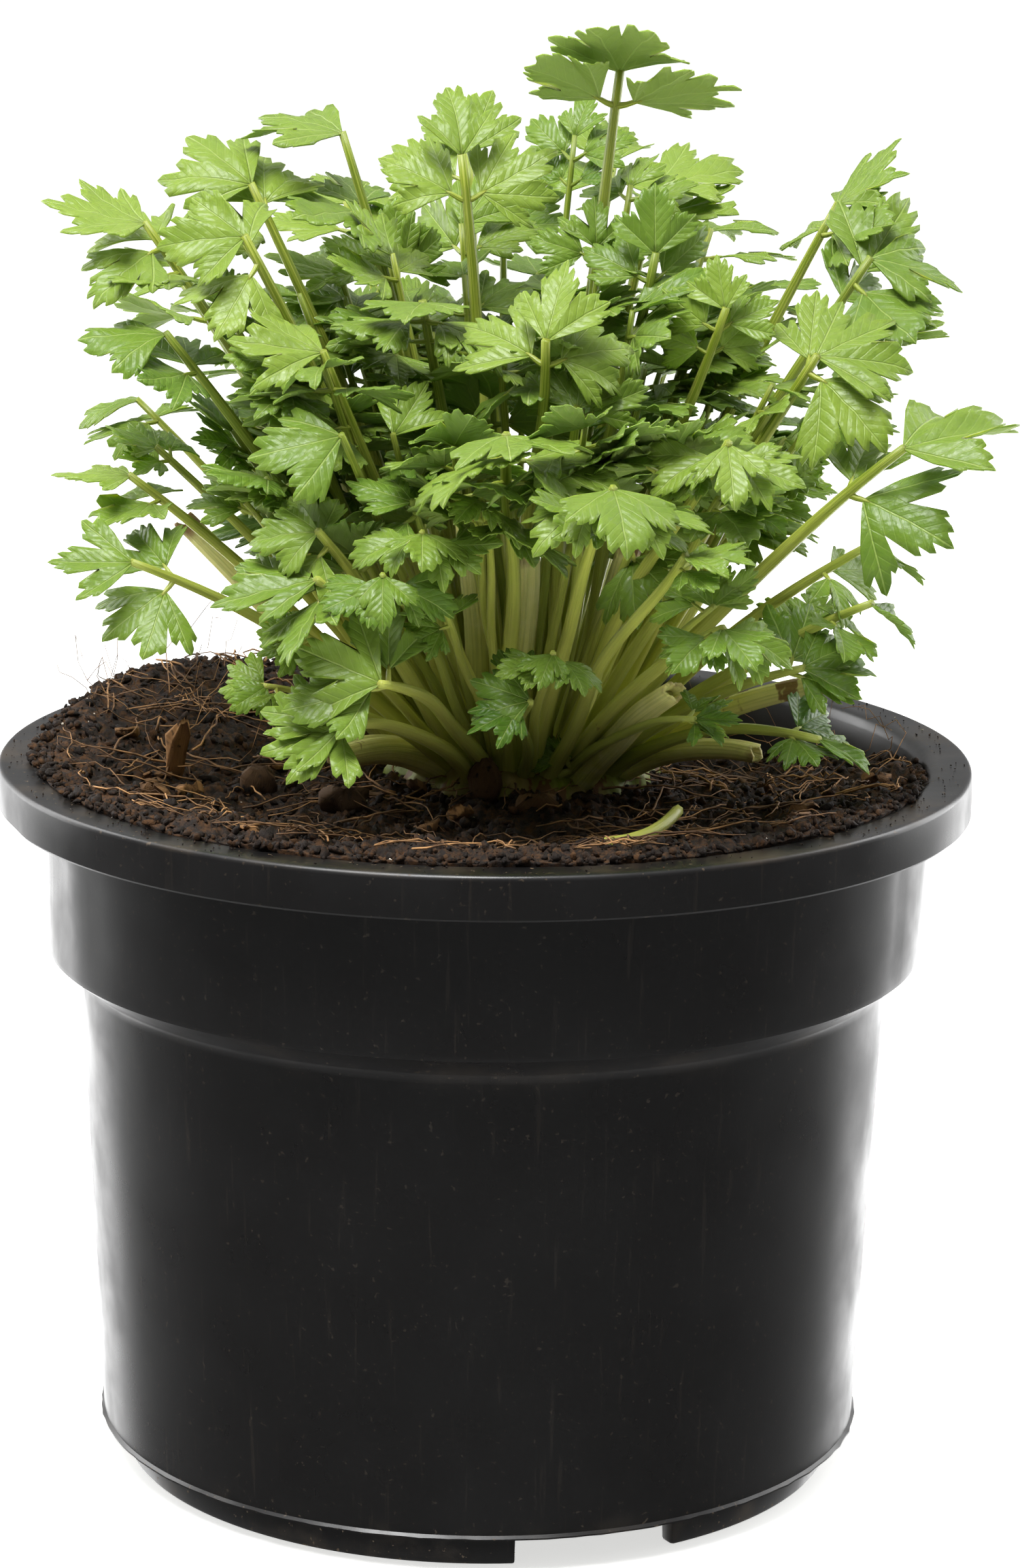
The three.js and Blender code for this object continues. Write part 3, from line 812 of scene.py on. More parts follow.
def moist_peat(settings, name, pale):
    """Moist peat and composted bark: almost black and matt, with drier brown crumbs."""
    material, tree = start_material(name)
    place = add(tree, "TexCoord").outputs["Object"]
    tone = add(tree, "Attribute", attribute_name="tone").outputs["Fac"]
    crumbs = between(tree, noise_of(tree, place, 520, 4, 0.7), 0.42, 0.66)
    if pale:
        crumbs = calculate(tree, "MULTIPLY", crumbs, calculate(tree, "MULTIPLY", tone, 1.6), True)
    base = blend_colours(tree, crumbs, settings.peat, settings.light_peat)
    patches = between(tree, noise_of(tree, place, 60, 3), 0.45, 0.75, 0.0, 0.6)
    base = blend_colours(tree, patches, base, (0.008, 0.005, 0.004))
    if pale:
        specks = between(tree, tone, 0.985, 0.99)
        base = blend_colours(tree, specks, base, rgb("#d9cfc0"))
    rough = between(tree, crumbs, 0, 1, 0.72, 0.98)
    fine = bump(tree, noise_of(tree, place, 1500, 4, 0.7), 0.0004, 0.9)
    normal = bump(tree, noise_of(tree, place, 480, 3), 0.0009, 0.8, fine)
    end_material(tree, Base_Color=base, Roughness=rough, Normal=normal, Specular_IOR_Level=0.3)
    return material


def coir(settings):
    """Coir and dead roots: dry, straw to rust brown, each a little different."""
    material, tree = start_material("coir_fibre")
    place = add(tree, "TexCoord").outputs["Object"]
    tone = add(tree, "Attribute", attribute_name="tone").outputs["Fac"]
    base = blend_colours(tree, tone, settings.light_peat, settings.fibre)
    base = blend_colours(tree, between(tree, noise_of(tree, place, 300, 2), 0.4, 0.7), base,
                         settings.light_peat)
    normal = bump(tree, noise_of(tree, place, 2500, 2), 0.00008, 0.6)
    end_material(tree, Base_Color=base, Roughness=0.75, Normal=normal)
    return material


def pine_bark(settings):
    """Composted pine bark: flaky layers along the grain, tan to near black."""
    material, tree = start_material("composted_pine_bark")
    place = add(tree, "TexCoord").outputs["Object"]
    lie = add(tree, "UVMap", uv_map="lie").outputs[0]
    tone = add(tree, "Attribute", attribute_name="tone").outputs["Fac"]
    grain = noise_of(tree, stretched(tree, lie, (30, 3, 1)), 1.0, 5, 0.6)
    base = blend_colours(tree, tone, settings.peat, settings.bark)
    base = blend_colours(tree, between(tree, grain, 0.45, 0.7, 0, 0.6), base, settings.light_peat)
    base = blend_colours(tree, between(tree, noise_of(tree, place, 500, 3), 0.55, 0.7), base,
                         settings.peat)
    normal = bump(tree, grain, 0.0008, 0.9)
    end_material(tree, Base_Color=base, Roughness=0.85, Normal=normal)
    return material


def celery_stalk(settings):
    """Living celery stalk: pale at the foot, green above, with fine strings along it under a
    waxy skin that lets a little light through."""
    material, tree = start_material("celery_stalk")
    place = add(tree, "TexCoord").outputs["Object"]
    lie = add(tree, "UVMap", uv_map="lie").outputs[0]
    height = add(tree, "SeparateXYZ", {0: place}).outputs["Z"]
    tone = add(tree, "Attribute", attribute_name="tone").outputs["Fac"]
    strings = noise_of(tree, stretched(tree, lie, (26, 0.35, 1)), 1.0, 3)
    up = between(tree, height, 0.142, 0.215)
    base = blend_colours(tree, up, settings.pale_stalk, settings.stalk)
    base = blend_colours(tree, between(tree, strings, 0.4, 0.65, 0.0, 0.5), base,
                         settings.pale_stalk)
    # Painted shade: stalks of leaves with a low tone, which are lower and further in, are mixed up to
    # halfway towards the dark shaded leaf green.
    base = blend_colours(tree, between(tree, tone, 0.2, 0.8, 0.45, 0.0), base, settings.dark_shaded_leaf)
    marks = between(tree, noise_of(tree, place, 160, 4, 0.6), 0.68, 0.76, 0, 0.7)
    base = blend_colours(tree, marks, base, settings.scar)
    normal = bump(tree, strings, 0.0003, 0.7)
    end_material(tree, Base_Color=base, Roughness=0.38, IOR=1.42, Normal=normal,
                 Subsurface_Weight=0.35, Subsurface_Scale=0.0012,
                 Subsurface_Radius=(0.8, 1.0, 0.3), Coat_Weight=0.15, Coat_Roughness=0.25)
    return material


def dried_stub(settings, name, brown, scarred, skin):
    """A harvested stalk drying off: straw and pale green skin with strings, brown at the cut."""
    material, tree = start_material(name)
    place = add(tree, "TexCoord").outputs["Object"]
    lie = add(tree, "UVMap", uv_map="lie").outputs[0]
    to_cut = add(tree, "SeparateXYZ", {0: lie}).outputs["Y"]
    strings = noise_of(tree, stretched(tree, lie, (22, 0.3, 1)), 1.0, 3)
    mottle = noise_of(tree, place, 140, 4, 0.6)
    base = blend_colours(tree, between(tree, to_cut, 0.6, 4.0), skin,
                         settings.pale_stalk)
    base = blend_colours(tree, between(tree, strings, 0.42, 0.62, 0.0, 0.45), base,
                         rgb("#a3ad58"))
    base = blend_colours(tree, between(tree, mottle, 0.45, 0.7, 0.0, 0.4), base, rgb("#e4e0a2"))
    reach = calculate(tree, "ADD", 0.06 + 0.35 * brown,
                      calculate(tree, "MULTIPLY", calculate(tree, "SUBTRACT", mottle, 0.5), 1.6))
    edge = calculate(tree, "SUBTRACT", reach, to_cut)
    base = blend_colours(tree, between(tree, edge, -0.15, 0.3, 0.0, 0.55 + 0.4 * brown), base,
                         settings.scar)
    scars = noise_of(tree, stretched(tree, place, (190, 190, 60)), 1.0, 3, 0.6)
    level = 0.74 - 0.18 * scarred
    base = blend_colours(tree, between(tree, scars, level, level + 0.04, 0.0, 0.85), base,
                         rgb("#6b3f22"))
    normal = bump(tree, strings, 0.0005, 0.8)
    normal = bump(tree, mottle, 0.0006, 0.5, normal)
    end_material(tree, Base_Color=base, Roughness=0.55, IOR=1.42, Normal=normal,
                 Subsurface_Weight=0.25, Subsurface_Scale=0.0015,
                 Subsurface_Radius=(1.0, 0.8, 0.3))
    return material


def leaf_veins(tree):
    """Main vein of each lobe and the side veins that leave it, from 0 to 1."""
    lie = add(tree, "SeparateXYZ", {0: add(tree, "UVMap", uv_map="lie").outputs[0]})
    away = calculate(tree, "ABSOLUTE", lie.outputs["X"])
    out = lie.outputs["Y"]
    main = between(tree, away, 0.013, 0.004)
    slant = calculate(tree, "SUBTRACT", out, calculate(tree, "MULTIPLY", away, 1.25))
    step = calculate(tree, "FRACT", calculate(tree, "MULTIPLY", slant, 8.5))
    off = calculate(tree, "ABSOLUTE", calculate(tree, "SUBTRACT", step, 0.5))
    side = between(tree, off, 0.11, 0.03)
    return main, side, off


def leaf_blade(settings, name, upper):
    """Celery leaf. Above, a waxy satin green with pale sunken veins; below, paler and matt."""
    material, tree = start_material(name)
    place = add(tree, "TexCoord").outputs["Object"]
    tone = add(tree, "Attribute", attribute_name="tone").outputs["Fac"]
    main, side, quilt = leaf_veins(tree)
    mottle = noise_of(tree, place, 170, 3)
    # Painted shade: the leaf's tone, lower for leaves low and inside the plant, is mixed with a random
    # mottle. Together they take the blade from the dark shaded green to the bright lit green.
    shade = calculate(tree, "ADD", tone, calculate(tree, "MULTIPLY",
                      calculate(tree, "SUBTRACT", mottle, 0.5), 0.5), True)
    base = blend_colours(tree, shade, settings.dark_shaded_leaf, settings.bright_lit_leaf)
    if not upper:
        base = blend_colours(tree, 0.55, base, settings.under)
    base = blend_colours(tree, calculate(tree, "MULTIPLY", side, 0.10), base, settings.vein)
    base = blend_colours(tree, calculate(tree, "MULTIPLY", main, 0.5), base, settings.vein)
    cells = noise_of(tree, place, 900, 3)
    sunk = calculate(tree, "ADD", calculate(tree, "MULTIPLY", main, 0.7),
                     calculate(tree, "MULTIPLY", side, 0.12))
    height = calculate(tree, "SUBTRACT", calculate(tree, "MULTIPLY", quilt, 0.35), sunk)
    height = calculate(tree, "ADD", height, calculate(tree, "MULTIPLY", mottle, 1.6))
    height = calculate(tree, "ADD", height, calculate(tree, "MULTIPLY", cells, 0.35))
    if not upper:   # the veins stand out below
        height = calculate(tree, "SUBTRACT", 1.0, height)
    normal = bump(tree, height, 0.0005 if upper else 0.0004, 0.7)
    rough = between(tree, cells, 0.3, 0.7, 0.30, 0.42) if upper else 0.6
    end_material(tree, Base_Color=base, Roughness=rough, IOR=1.42, Normal=normal,
                 Specular_IOR_Level=0.42,
                 Subsurface_Weight=0.4, Subsurface_Scale=0.0007,
                 Subsurface_Radius=(0.8, 1.0, 0.2))
    return material


# ---- Operators, one for each piece or group of like pieces ----------------------------------------

class CELERY_OT_pot(bpy.types.Operator):
    """The nursery pot, with its rolled rim, stacking ledge, foot ring and drain holes"""

    bl_idname = "celery.pot"
    bl_label = "Nursery pot"

    def execute(self, context):
        s = context.scene.celery_pot
        rim, top, foot, wall = s.rim / MM, s.height / MM, s.foot / MM, s.wall / MM
        band = s.band / MM
        mouth = rim - 6.5
        profile = [
            (30, foot), (74.6, foot), (75.2, foot + 0.1), (75.9, foot - 0.1), (75.9, foot + 0.2),
            (75.35, foot + 0.7), (75.6, 14), (76.5, 36), (77.5, 58), (78.5, 80), (79.2, 96.6),
            (79.5, 98.0), (80.2, 99.0), (84.7, 102.3), (85.6, 103.0), (85.9, 104.2),
            (86.2, 112), (86.6, 124), (86.95, 135), (87.2, 138), (88.0, 138.5),
            (93.0, 138.5), (93.6, 138.0), (93.7, 137), (93.7, top - band + 0.4),
            (93.9, top - band), (94.7, top - band), (95.0, top - band + 0.4), (95.0, 134),
            (94.95, 138.9), (94.85, 139.4), (94.6, 139.75), (94.2, 139.95), (93.6, top),
            (91.5, 139.8), (mouth, 139.9), (87.4, 139.7), (86.4, 138.9), (85.8, 137.4),
            (85.4, 130), (85.0, 118), (84.55, 104.6), (84.1, 103.6), (78.6, 99.6), (78.0, 98.4),
            (77.2, 80), (76.2, 58), (75.2, 36), (74.2, 12),
            (73.9, foot + wall + 0.3), (30, foot + wall + 0.3),
        ]
        pot = turn_profile("nursery_pot", profile, s.sides)
        self.cut_drains(pot, foot)
        self.join_feet(pot, foot)
        self.wear(pot, foot)
        pot.data.materials.append(recycled_polypropylene(s))
        deselect()
        pot.select_set(True)
        context.view_layer.objects.active = pot
        bpy.ops.object.shade_smooth_by_angle(angle=math.radians(35))
        hand_over(pot, "pot_plastic", "pot")
        return {"FINISHED"}

    def cut_drains(self, pot, foot):
        """A ring of holes through the floor of the pot."""
        deselect()
        drills = []
        for i in range(DRAINS):
            angle = i / DRAINS * TURN
            place = Vector((math.cos(angle) * DRAIN_RING, math.sin(angle) * DRAIN_RING, foot + 1))
            bpy.ops.mesh.primitive_cylinder_add(
                vertices=24, radius=DRAIN_RADIUS * MM, depth=6 * MM, location=place * MM)
            drills.append(bpy.context.object)
        for drill in drills:
            drill.select_set(True)
        bpy.ops.object.join()
        drill = bpy.context.object
        bpy.ops.object.transform_apply(location=True, rotation=True, scale=True)
        apply_modifier(pot, "BOOLEAN", operation="DIFFERENCE", object=drill, solver="EXACT")
        bpy.data.objects.remove(drill)

    def join_feet(self, pot, foot):
        """Curved feet, each a small section spun round the axis."""
        feet = []
        for i in range(FEET):
            deselect()
            bpy.ops.mesh.primitive_plane_add(size=1)
            piece = bpy.context.object
            first = math.radians(FOOT_START + 360 / FEET * i)
            section = [(67.2, 0), (70.8, 0), (66.8, foot + 0.3), (71.6, foot + 0.3)]
            for vertex, (radius, height) in zip(piece.data.vertices, section):
                vertex.co = Vector((radius * math.cos(first), radius * math.sin(first), height)) * MM
            bpy.ops.object.mode_set(mode="EDIT")
            bpy.ops.mesh.select_all(action="SELECT")
            bpy.ops.mesh.spin(
                steps=40, angle=math.radians(FOOT_SWEEP), center=(0, 0, 0), axis=(0, 0, 1))
            bpy.ops.mesh.select_all(action="SELECT")
            bpy.ops.mesh.remove_doubles(threshold=1e-6)
            face_outward()
            apply_modifier(piece, "BEVEL", width=0.0006, segments=2, limit_method="ANGLE")
            feet.append(piece)
        deselect()
        for piece in [*feet, pot]:
            piece.select_set(True)
        bpy.context.view_layer.objects.active = pot
        bpy.ops.object.join()

    def wear(self, pot, foot):
        """The ragged mould line at the foot, a dented left shoulder and an upright crease."""
        points = points_of(pot) / MM
        x, y, z = points.T
        radius = np.hypot(x, y)
        angle = np.arctan2(y, x)
        fin = (radius > 75.4) & (z < foot + 0.4)
        ragged = np.array([noise.noise(Vector((a * 22, 0, 4))) for a in angle])
        change = np.where(fin, 0.35 * ragged, 0.0)
        dents = np.array([noise.noise(Vector((a * 5.5, h / 26, 2))) for a, h in zip(angle, z)])
        left = np.exp(-((np.degrees(angle) + 158) / 16) ** 2) * np.exp(-((z - 119) / 13) ** 2)
        change -= 1.5 * left * np.clip(dents + 0.35, 0, 1)
        crease = np.exp(-((np.degrees(angle) + 24.5) / 1.6) ** 2) * np.exp(-((z - 118) / 9) ** 2)
        change -= 0.5 * crease
        ratio = (radius + change) / np.maximum(radius, 1e-6)
        move_points(pot, np.stack([x * ratio, y * ratio, z], axis=1) * MM)


class CELERY_OT_soil(bpy.types.Operator):
    """The soil: a closed body with a crumbly top"""

    bl_idname = "celery.soil"
    bl_label = "Soil"

    def execute(self, context):
        s = context.scene.celery_soil
        deselect()
        bpy.ops.mesh.primitive_grid_add(x_subdivisions=210, y_subdivisions=210, size=2)
        soil = context.object
        soil.name = "soil_body"
        points = points_of(soil)
        for point in points:
            x, y = point[0], point[1]
            reach = max(abs(x), abs(y))
            if reach > 0:
                if abs(x) >= abs(y):
                    angle = math.pi / 4 * y / x + (math.pi if x < 0 else 0)
                else:
                    angle = math.pi / 2 - math.pi / 4 * x / y + (math.pi if y < 0 else 0)
                x, y = math.cos(angle), math.sin(angle)
                spill = 2.2 + 0.9 * noise.noise(Vector((x * 6, y * 6, 7)))
                full = s.radius / MM + spill * wall_share(x, y)
                x, y = x * reach * full, y * reach * full
            point[:] = (x * MM, y * MM, soil_surface(x, y) * MM)
        move_points(soil, points)
        bpy.ops.object.mode_set(mode="EDIT")
        bpy.ops.mesh.select_mode(type="EDGE")
        bpy.ops.mesh.select_all(action="DESELECT")
        bpy.ops.mesh.select_non_manifold(extend=False)
        ratio = SOIL_SHOULDER / (s.radius / MM + SOIL_RIM_ALLOWANCE)
        extrude(0, 0, -5.5 * MM)
        bpy.ops.transform.resize(value=(ratio, ratio, 1))
        extrude(0, 0, -10 * MM)
        bpy.ops.transform.resize(value=(0.995, 0.995, 0))
        radius = 84.2
        for next_radius, drop in SOIL_SIDES:
            extrude(0, 0, -drop * MM)
            ratio = next_radius / radius
            bpy.ops.transform.resize(value=(ratio, ratio, 1))
            radius = next_radius
        bpy.ops.mesh.edge_face_add()
        bpy.ops.mesh.select_mode(type="VERT")
        face_outward()
        bpy.ops.object.shade_smooth()
        soil.data.materials.append(moist_peat(s, "moist_peat", False))
        hand_over(soil, "soil", "soil")
        return {"FINISHED"}


class CELERY_OT_soil_litter(bpy.types.Operator):
    """What lies on the soil: crumbs, fibres and chips of bark"""

    bl_idname = "celery.soil_litter"
    bl_label = "Crumbs, fibres and bark"

    def execute(self, context):
        s = context.scene.celery_soil
        self.crumbs(s)
        self.fibres(s)
        self.bark(s)
        return {"FINISHED"}

    def spot(self, rng, limit):
        """A place on the soil, clear of the crown."""
        while True:
            radius = limit * math.sqrt(rng.random())
            angle = rng.uniform(0, TURN)
            x, y = radius * math.cos(angle), radius * math.sin(angle)
            if math.hypot(x - CROWN.x, y - CROWN.y) > 20:
                return x, y

    def crumbs(self, s):
        rng = random.Random(11)
        lumps = []
        for _ in range(6):
            deselect()
            bpy.ops.mesh.primitive_ico_sphere_add(subdivisions=1, radius=1)
            lump = bpy.context.object
            stretch = np.array([rng.uniform(0.5, 1.5), rng.uniform(0.5, 1.0), rng.uniform(0.4, 0.9)])
            points = points_of(lump) * stretch
            points *= np.array([[rng.uniform(0.6, 1.3) for _ in range(3)] for _ in points])
            move_points(lump, points)
            lumps.append(take_shape(lump))
        pile = Pile()
        for i in range(s.crumbs):
            if i % 30 == 0:   # on the lip
                angle, radius = rng.uniform(0, TURN), rng.uniform(88.3, 93.5)
                x, y, z = radius * math.cos(angle), radius * math.sin(angle), 140.0
                size = rng.uniform(0.08, 0.26)
            elif i % 9 == 1:   # spilled along the wall
                angle = rng.uniform(0, TURN)
                radius = 84.8 + 3.6 * wall_share(math.cos(angle), math.sin(angle)) * rng.random()
                x, y = radius * math.cos(angle), radius * math.sin(angle)
                z = soil_surface(x, y)
                size = rng.uniform(0.3, 1.3)
            else:
                x, y = self.spot(rng, 87)
                if math.hypot(x, y) > 84.5 and wall_share(x, y) < 0.9:
                    x, y = x * 0.96, y * 0.96
                z = soil_surface(x, y)
                size = 0.28 + 1.25 * rng.random() ** 4
            turn = Matrix.Rotation(rng.uniform(0, TURN), 3, Vector((rng.uniform(-1, 1),
                                   rng.uniform(-1, 1), rng.uniform(-1, 1))).normalized())
            lump = lumps[rng.randrange(len(lumps))]
            points = lump.points @ np.array(turn) * size + np.array((x, y, z + size * 0.35))
            tone = rng.random() * (0.98 if size > 0.5 else 1)
            pile.add(lump, points, tone)
        crumbs = pile.build("soil_crumbs", [moist_peat(s, "loose_peat_crumbs", True)])
        hand_over(crumbs, "soil")

    def fibres(self, s):
        rng = random.Random(23)
        thread = model_tube(4, 9)
        pile = Pile()
        for i in range(s.fibres):
            x, y = self.spot(rng, 83)
            heading = rng.uniform(0, TURN)
            over_rim = i % 11 == 0
            span = rng.uniform(16, 34) if over_rim else rng.uniform(6, 30)
            if over_rim:
                x, y = rng.choice((-1, 1)) * rng.uniform(58, 76), rng.uniform(-10, 45)
            path = []
            for step in range(10):
                heading += rng.uniform(-0.35, 0.35)
                x += math.cos(heading) * span / 9
                y += math.sin(heading) * span / 9
                far = math.hypot(x, y)
                if far > 83.5:
                    x, y = x * 83.5 / far, y * 83.5 / far
                    heading += 1.2
                lift = 0.5 + 1.6 * math.sin(step / 9 * math.pi) * rng.uniform(0.4, 1.2)
                if over_rim:
                    lift += rng.uniform(9, 19) * (step / 9) ** 1.5
                path.append((x, y, soil_height(x, y) + 1.0 + lift))
            radius = 0.13 if over_rim else rng.uniform(0.12, 0.3)
            radii = radius * (1 - 0.6 * np.linspace(0, 1, 10))
            pile.add(thread, lay_tube(thread, path, radii, (0, 0.3, 1)), rng.random())
        fibres = pile.build("soil_fibres", [coir(s)])
        hand_over(fibres, "soil")

    def bark(self, s):
        rng = random.Random(31)
        noise.seed_set(31)   # the vector noise would else differ from run to run
        # Chips that can be told apart: place, height above the soil, size and how they stand.
        chips = [
            ((-60, -8), (4.0, 1.6, 15), 22, 24, 0.95), ((-27, -22), (9, 3, 6), 20, 0, 0.15),
            ((0, -16), (6, 2.5, 9), 5, -6, 0.3), ((10, -24), (8, 3, 5), 30, 4, 0.35),
            ((-44, -8), (7, 4, 6), 15, 10, 0.2), ((60, -38), (6, 2, 4), 60, 40, 0.6),
            ((-62, -34), (7, 2, 5), 40, -30, 0.5),
        ]
        while len(chips) < 34:
            x, y = self.spot(rng, 78)
            size = (rng.uniform(2.5, 6), rng.uniform(0.8, 2), rng.uniform(2, 5))
            chips.append(((x, y), size, rng.uniform(30, 85), rng.uniform(-60, 60), rng.random()))
        deselect()
        bpy.ops.mesh.primitive_cube_add(size=1)
        bpy.ops.object.mode_set(mode="EDIT")
        bpy.ops.mesh.subdivide(number_cuts=3)
        bpy.ops.object.mode_set(mode="OBJECT")
        master = take_shape(bpy.context.object)
        master.uv = master.points[master.corners][:, [0, 2]]
        pile = Pile()
        for (x, y), size, lean, yaw, tone in chips:
            points = master.points * np.array(size)
            seed = rng.uniform(0, 50)
            for point in points:
                place = Vector((point[0] / 2.2 + seed, point[1] / 1.5, point[2] / 4))
                narrow = 1 - 0.55 * abs(2 * point[2] / size[2]) ** 3
                point[0] *= narrow
                point[1] *= narrow
                point += np.array(noise.noise_vector(place)) * 1.1
            turn = Matrix.Rotation(math.radians(yaw), 3, "Z") @ Matrix.Rotation(
                math.radians(lean), 3, "X")
            raise_by = size[2] * 0.4 * math.cos(math.radians(lean)) + 0.5
            points = points @ np.array(turn).T + np.array((x, y, soil_height(x, y) + raise_by))
            pile.add(master, points, tone)
        bark = pile.build("bark_chips", [pine_bark(s)])
        hand_over(bark, "soil")


class CELERY_OT_crown(bpy.types.Operator):
    """The crown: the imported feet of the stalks, half sunk in the soil"""

    bl_idname = "celery.crown"
    bl_label = "Crown"

    def execute(self, context):
        s = context.scene.celery_plant
        profile = [(10, 119), (17, 119.5), (23, 126), (26.6, 130.5), (26.8, 133), (26.2, 135.5),
                   (24.5, 137.6), (21, 139.2), (16, 140.4), (11, 141.0), (6, 141.3), (2, 141.4)]
        crown = turn_profile("celery_crown", profile, 120, (CROWN.x, CROWN.y))
        points = points_of(crown) / MM
        x, y = points[:, 0] - CROWN.x, points[:, 1] - CROWN.y
        angle = np.arctan2(y, x)
        reach = np.hypot(x, y)
        ribs = 0.035 * np.cos(angle * 15) + 0.02 * np.cos(angle * 41 + 1)
        points[:, 0] = CROWN.x + x * (1 + ribs)
        points[:, 1] = CROWN.y + y * (1 + ribs)
        points[:, 2] += 0.9 * np.cos(reach * 0.9 + angle * 3) * (points[:, 2] > 138)
        move_points(crown, points * MM)
        bpy.ops.object.shade_smooth()
        crown.data.uv_layers.new(name="lie")
        crown.data.materials.append(dried_stub(s, "crown_base", 0.3, 0.9, s.stalk))
        hand_over(crown, "stalk", "crown")
        return {"FINISHED"}


def plan_plant():
    """Plans of the leaves and of the stubs, which share the room on the crown."""
    leaves = [plan_stalk(*row[:4], STALK_RADIUS + STALK_GAIN * row[7]) for row in LEAVES]
    stubs = [plan_stalk(*row[:3], STUB_BOW, row[3]) for row in STUBS]
    spread(leaves + stubs)
    return leaves, stubs


def leaf_materials(settings):
    """Stalk, upper side and underside, made once for all the leaves."""
    made = bpy.data.materials
    return [made.get("celery_stalk") or celery_stalk(settings),
            made.get("leaf_above") or leaf_blade(settings, "leaf_above", True),
            made.get("leaf_below") or leaf_blade(settings, "leaf_below", False)]


class CELERY_OT_stubs(bpy.types.Operator):
    """The cut stubs of the harvested stalks"""

    bl_idname = "celery.stubs"
    bl_label = "Cut stubs"

    def execute(self, context):
        s = context.scene.celery_plant
        master = model_tube(20, 14, ribs=0.05, hollow=0.06)
        _, plans = plan_plant()
        for i, (row, plan) in enumerate(zip(STUBS, plans)):
            rng = random.Random(60 + i)
            stub = stalk_path(plan, 14, sway=rng.uniform(0.2, 0.8), phase=rng.uniform(0, TURN))
            share = np.linspace(0, 1, len(stub.path))
            radii = plan.radius * (1.45 - 0.35 * share)
            shaped = SimpleNamespace(**vars(master))
            shaped.points = master.points.copy()
            x, y = shaped.points[:, 0].copy(), shaped.points[:, 1].copy()
            # A celery stalk is a gutter: rounded outside, drawn in on the side of the crown.
            gutter = np.where(y > 0, 1 - 0.45 * np.exp(-(x / 0.5) ** 2), 1.0)
            shaped.points[:, 1] = y * gutter
            tip = shaped.points[:, 2] > 0.9
            ragged = 0.012 * np.sin(3 * np.arctan2(y, x) + i) + 0.015 * y * rng.uniform(-1, 1)
            shaped.points[:, 2] += np.where(tip, ragged, 0)
            points = lay_tube(shaped, stub.path, radii, stub.side)
            pile = Pile()
            pile.add(shaped, points, 0.5, 0, tube_uv(shaped, stub.run[-1], plan.radius))
            piece = pile.build(f"stub_{i + 1:02d}", [
                dried_stub(s, f"dried_stub_{i + 1:02d}", row[4], row[5], s.straw)])
            hand_over(piece, "stalk", f"cut_stub_{i + 1:02d}")
        return {"FINISHED"}


class CELERY_OT_leaves(bpy.types.Operator):
    """The leaves that stand for the frame's own, each a piece of its own"""

    bl_idname = "celery.leaves"
    bl_label = "Leaves"

    def execute(self, context):
        masters = model_masters(LEAFLET_ROWS)
        materials = leaf_materials(context.scene.celery_plant)
        plans, _ = plan_plant()
        for i, (row, plan) in enumerate(zip(LEAVES, plans)):
            pile = Pile()
            grow_leaf(pile, masters, row, plan, 100 + i)
            leaf = pile.build(f"celery_leaf_{i + 1:02d}", materials)
            hand_over(leaf, "leaf", f"leaf_{i + 1:02d}")
        return {"FINISHED"}


class CELERY_OT_small_leaves(bpy.types.Operator):
    """The smaller leaves inside and behind, a few to each piece"""

    bl_idname = "celery.small_leaves"
    bl_label = "Small leaves"

    def execute(self, context):
        masters = model_masters(HIDDEN_LEAFLET_ROWS)
        materials = leaf_materials(context.scene.celery_plant)
        groups = [(f"inner_leaves_{i + 1}", INNER_LEAVES[i * 7:(i + 1) * 7], 0.8, 300 + 20 * i)
                  for i in range(4)]
        groups += [(f"back_leaves_{i + 1}", BACK_LEAVES[i * 5:(i + 1) * 5], 0.8, 380 + 20 * i)
                   for i in range(2)]
        groups += [(f"crowded_leaves_{i + 1}", crowd_leaves(70 + i, 11), 0.7, 500 + 20 * i)
                   for i in range(8)]
        for name, rows, radius, seed in groups:
            pile = Pile()
            for i, row in enumerate(rows):
                plan = plan_stalk(*row[:4], radius + STALK_GAIN * row[7])
                grow_leaf(pile, masters, row, plan, seed + i)
            hand_over(pile.build(name, materials), "leaf")
        return {"FINISHED"}


class CELERY_OT_fallen_stalk(bpy.types.Operator):
    """A broken length of stalk on the soil"""

    bl_idname = "celery.fallen_stalk"
    bl_label = "Fallen stalk"

    def execute(self, context):
        materials = leaf_materials(context.scene.celery_plant)
        master = model_tube(12, 18, ribs=0.07)
        t = np.linspace(0, 1, 12)[:, None]
        a, b, c = (np.array(p) for p in ((22, -61, 137.3), (31, -58, 137.5), (36, -44, 140)))
        path = a * (1 - t) ** 2 + 2 * b * t * (1 - t) + c * t ** 2
        radii = 1.5 * (1 - 0.3 * np.linspace(0, 1, 12))
        pile = Pile()
        pile.add(master, lay_tube(master, path, radii, (0, 0, 1)), 0.6, 0,
                 tube_uv(master, 24, 1.5))
        hand_over(pile.build("fallen_stalk_piece", materials[:1]), "stalk", "fallen_stalk")
        return {"FINISHED"}


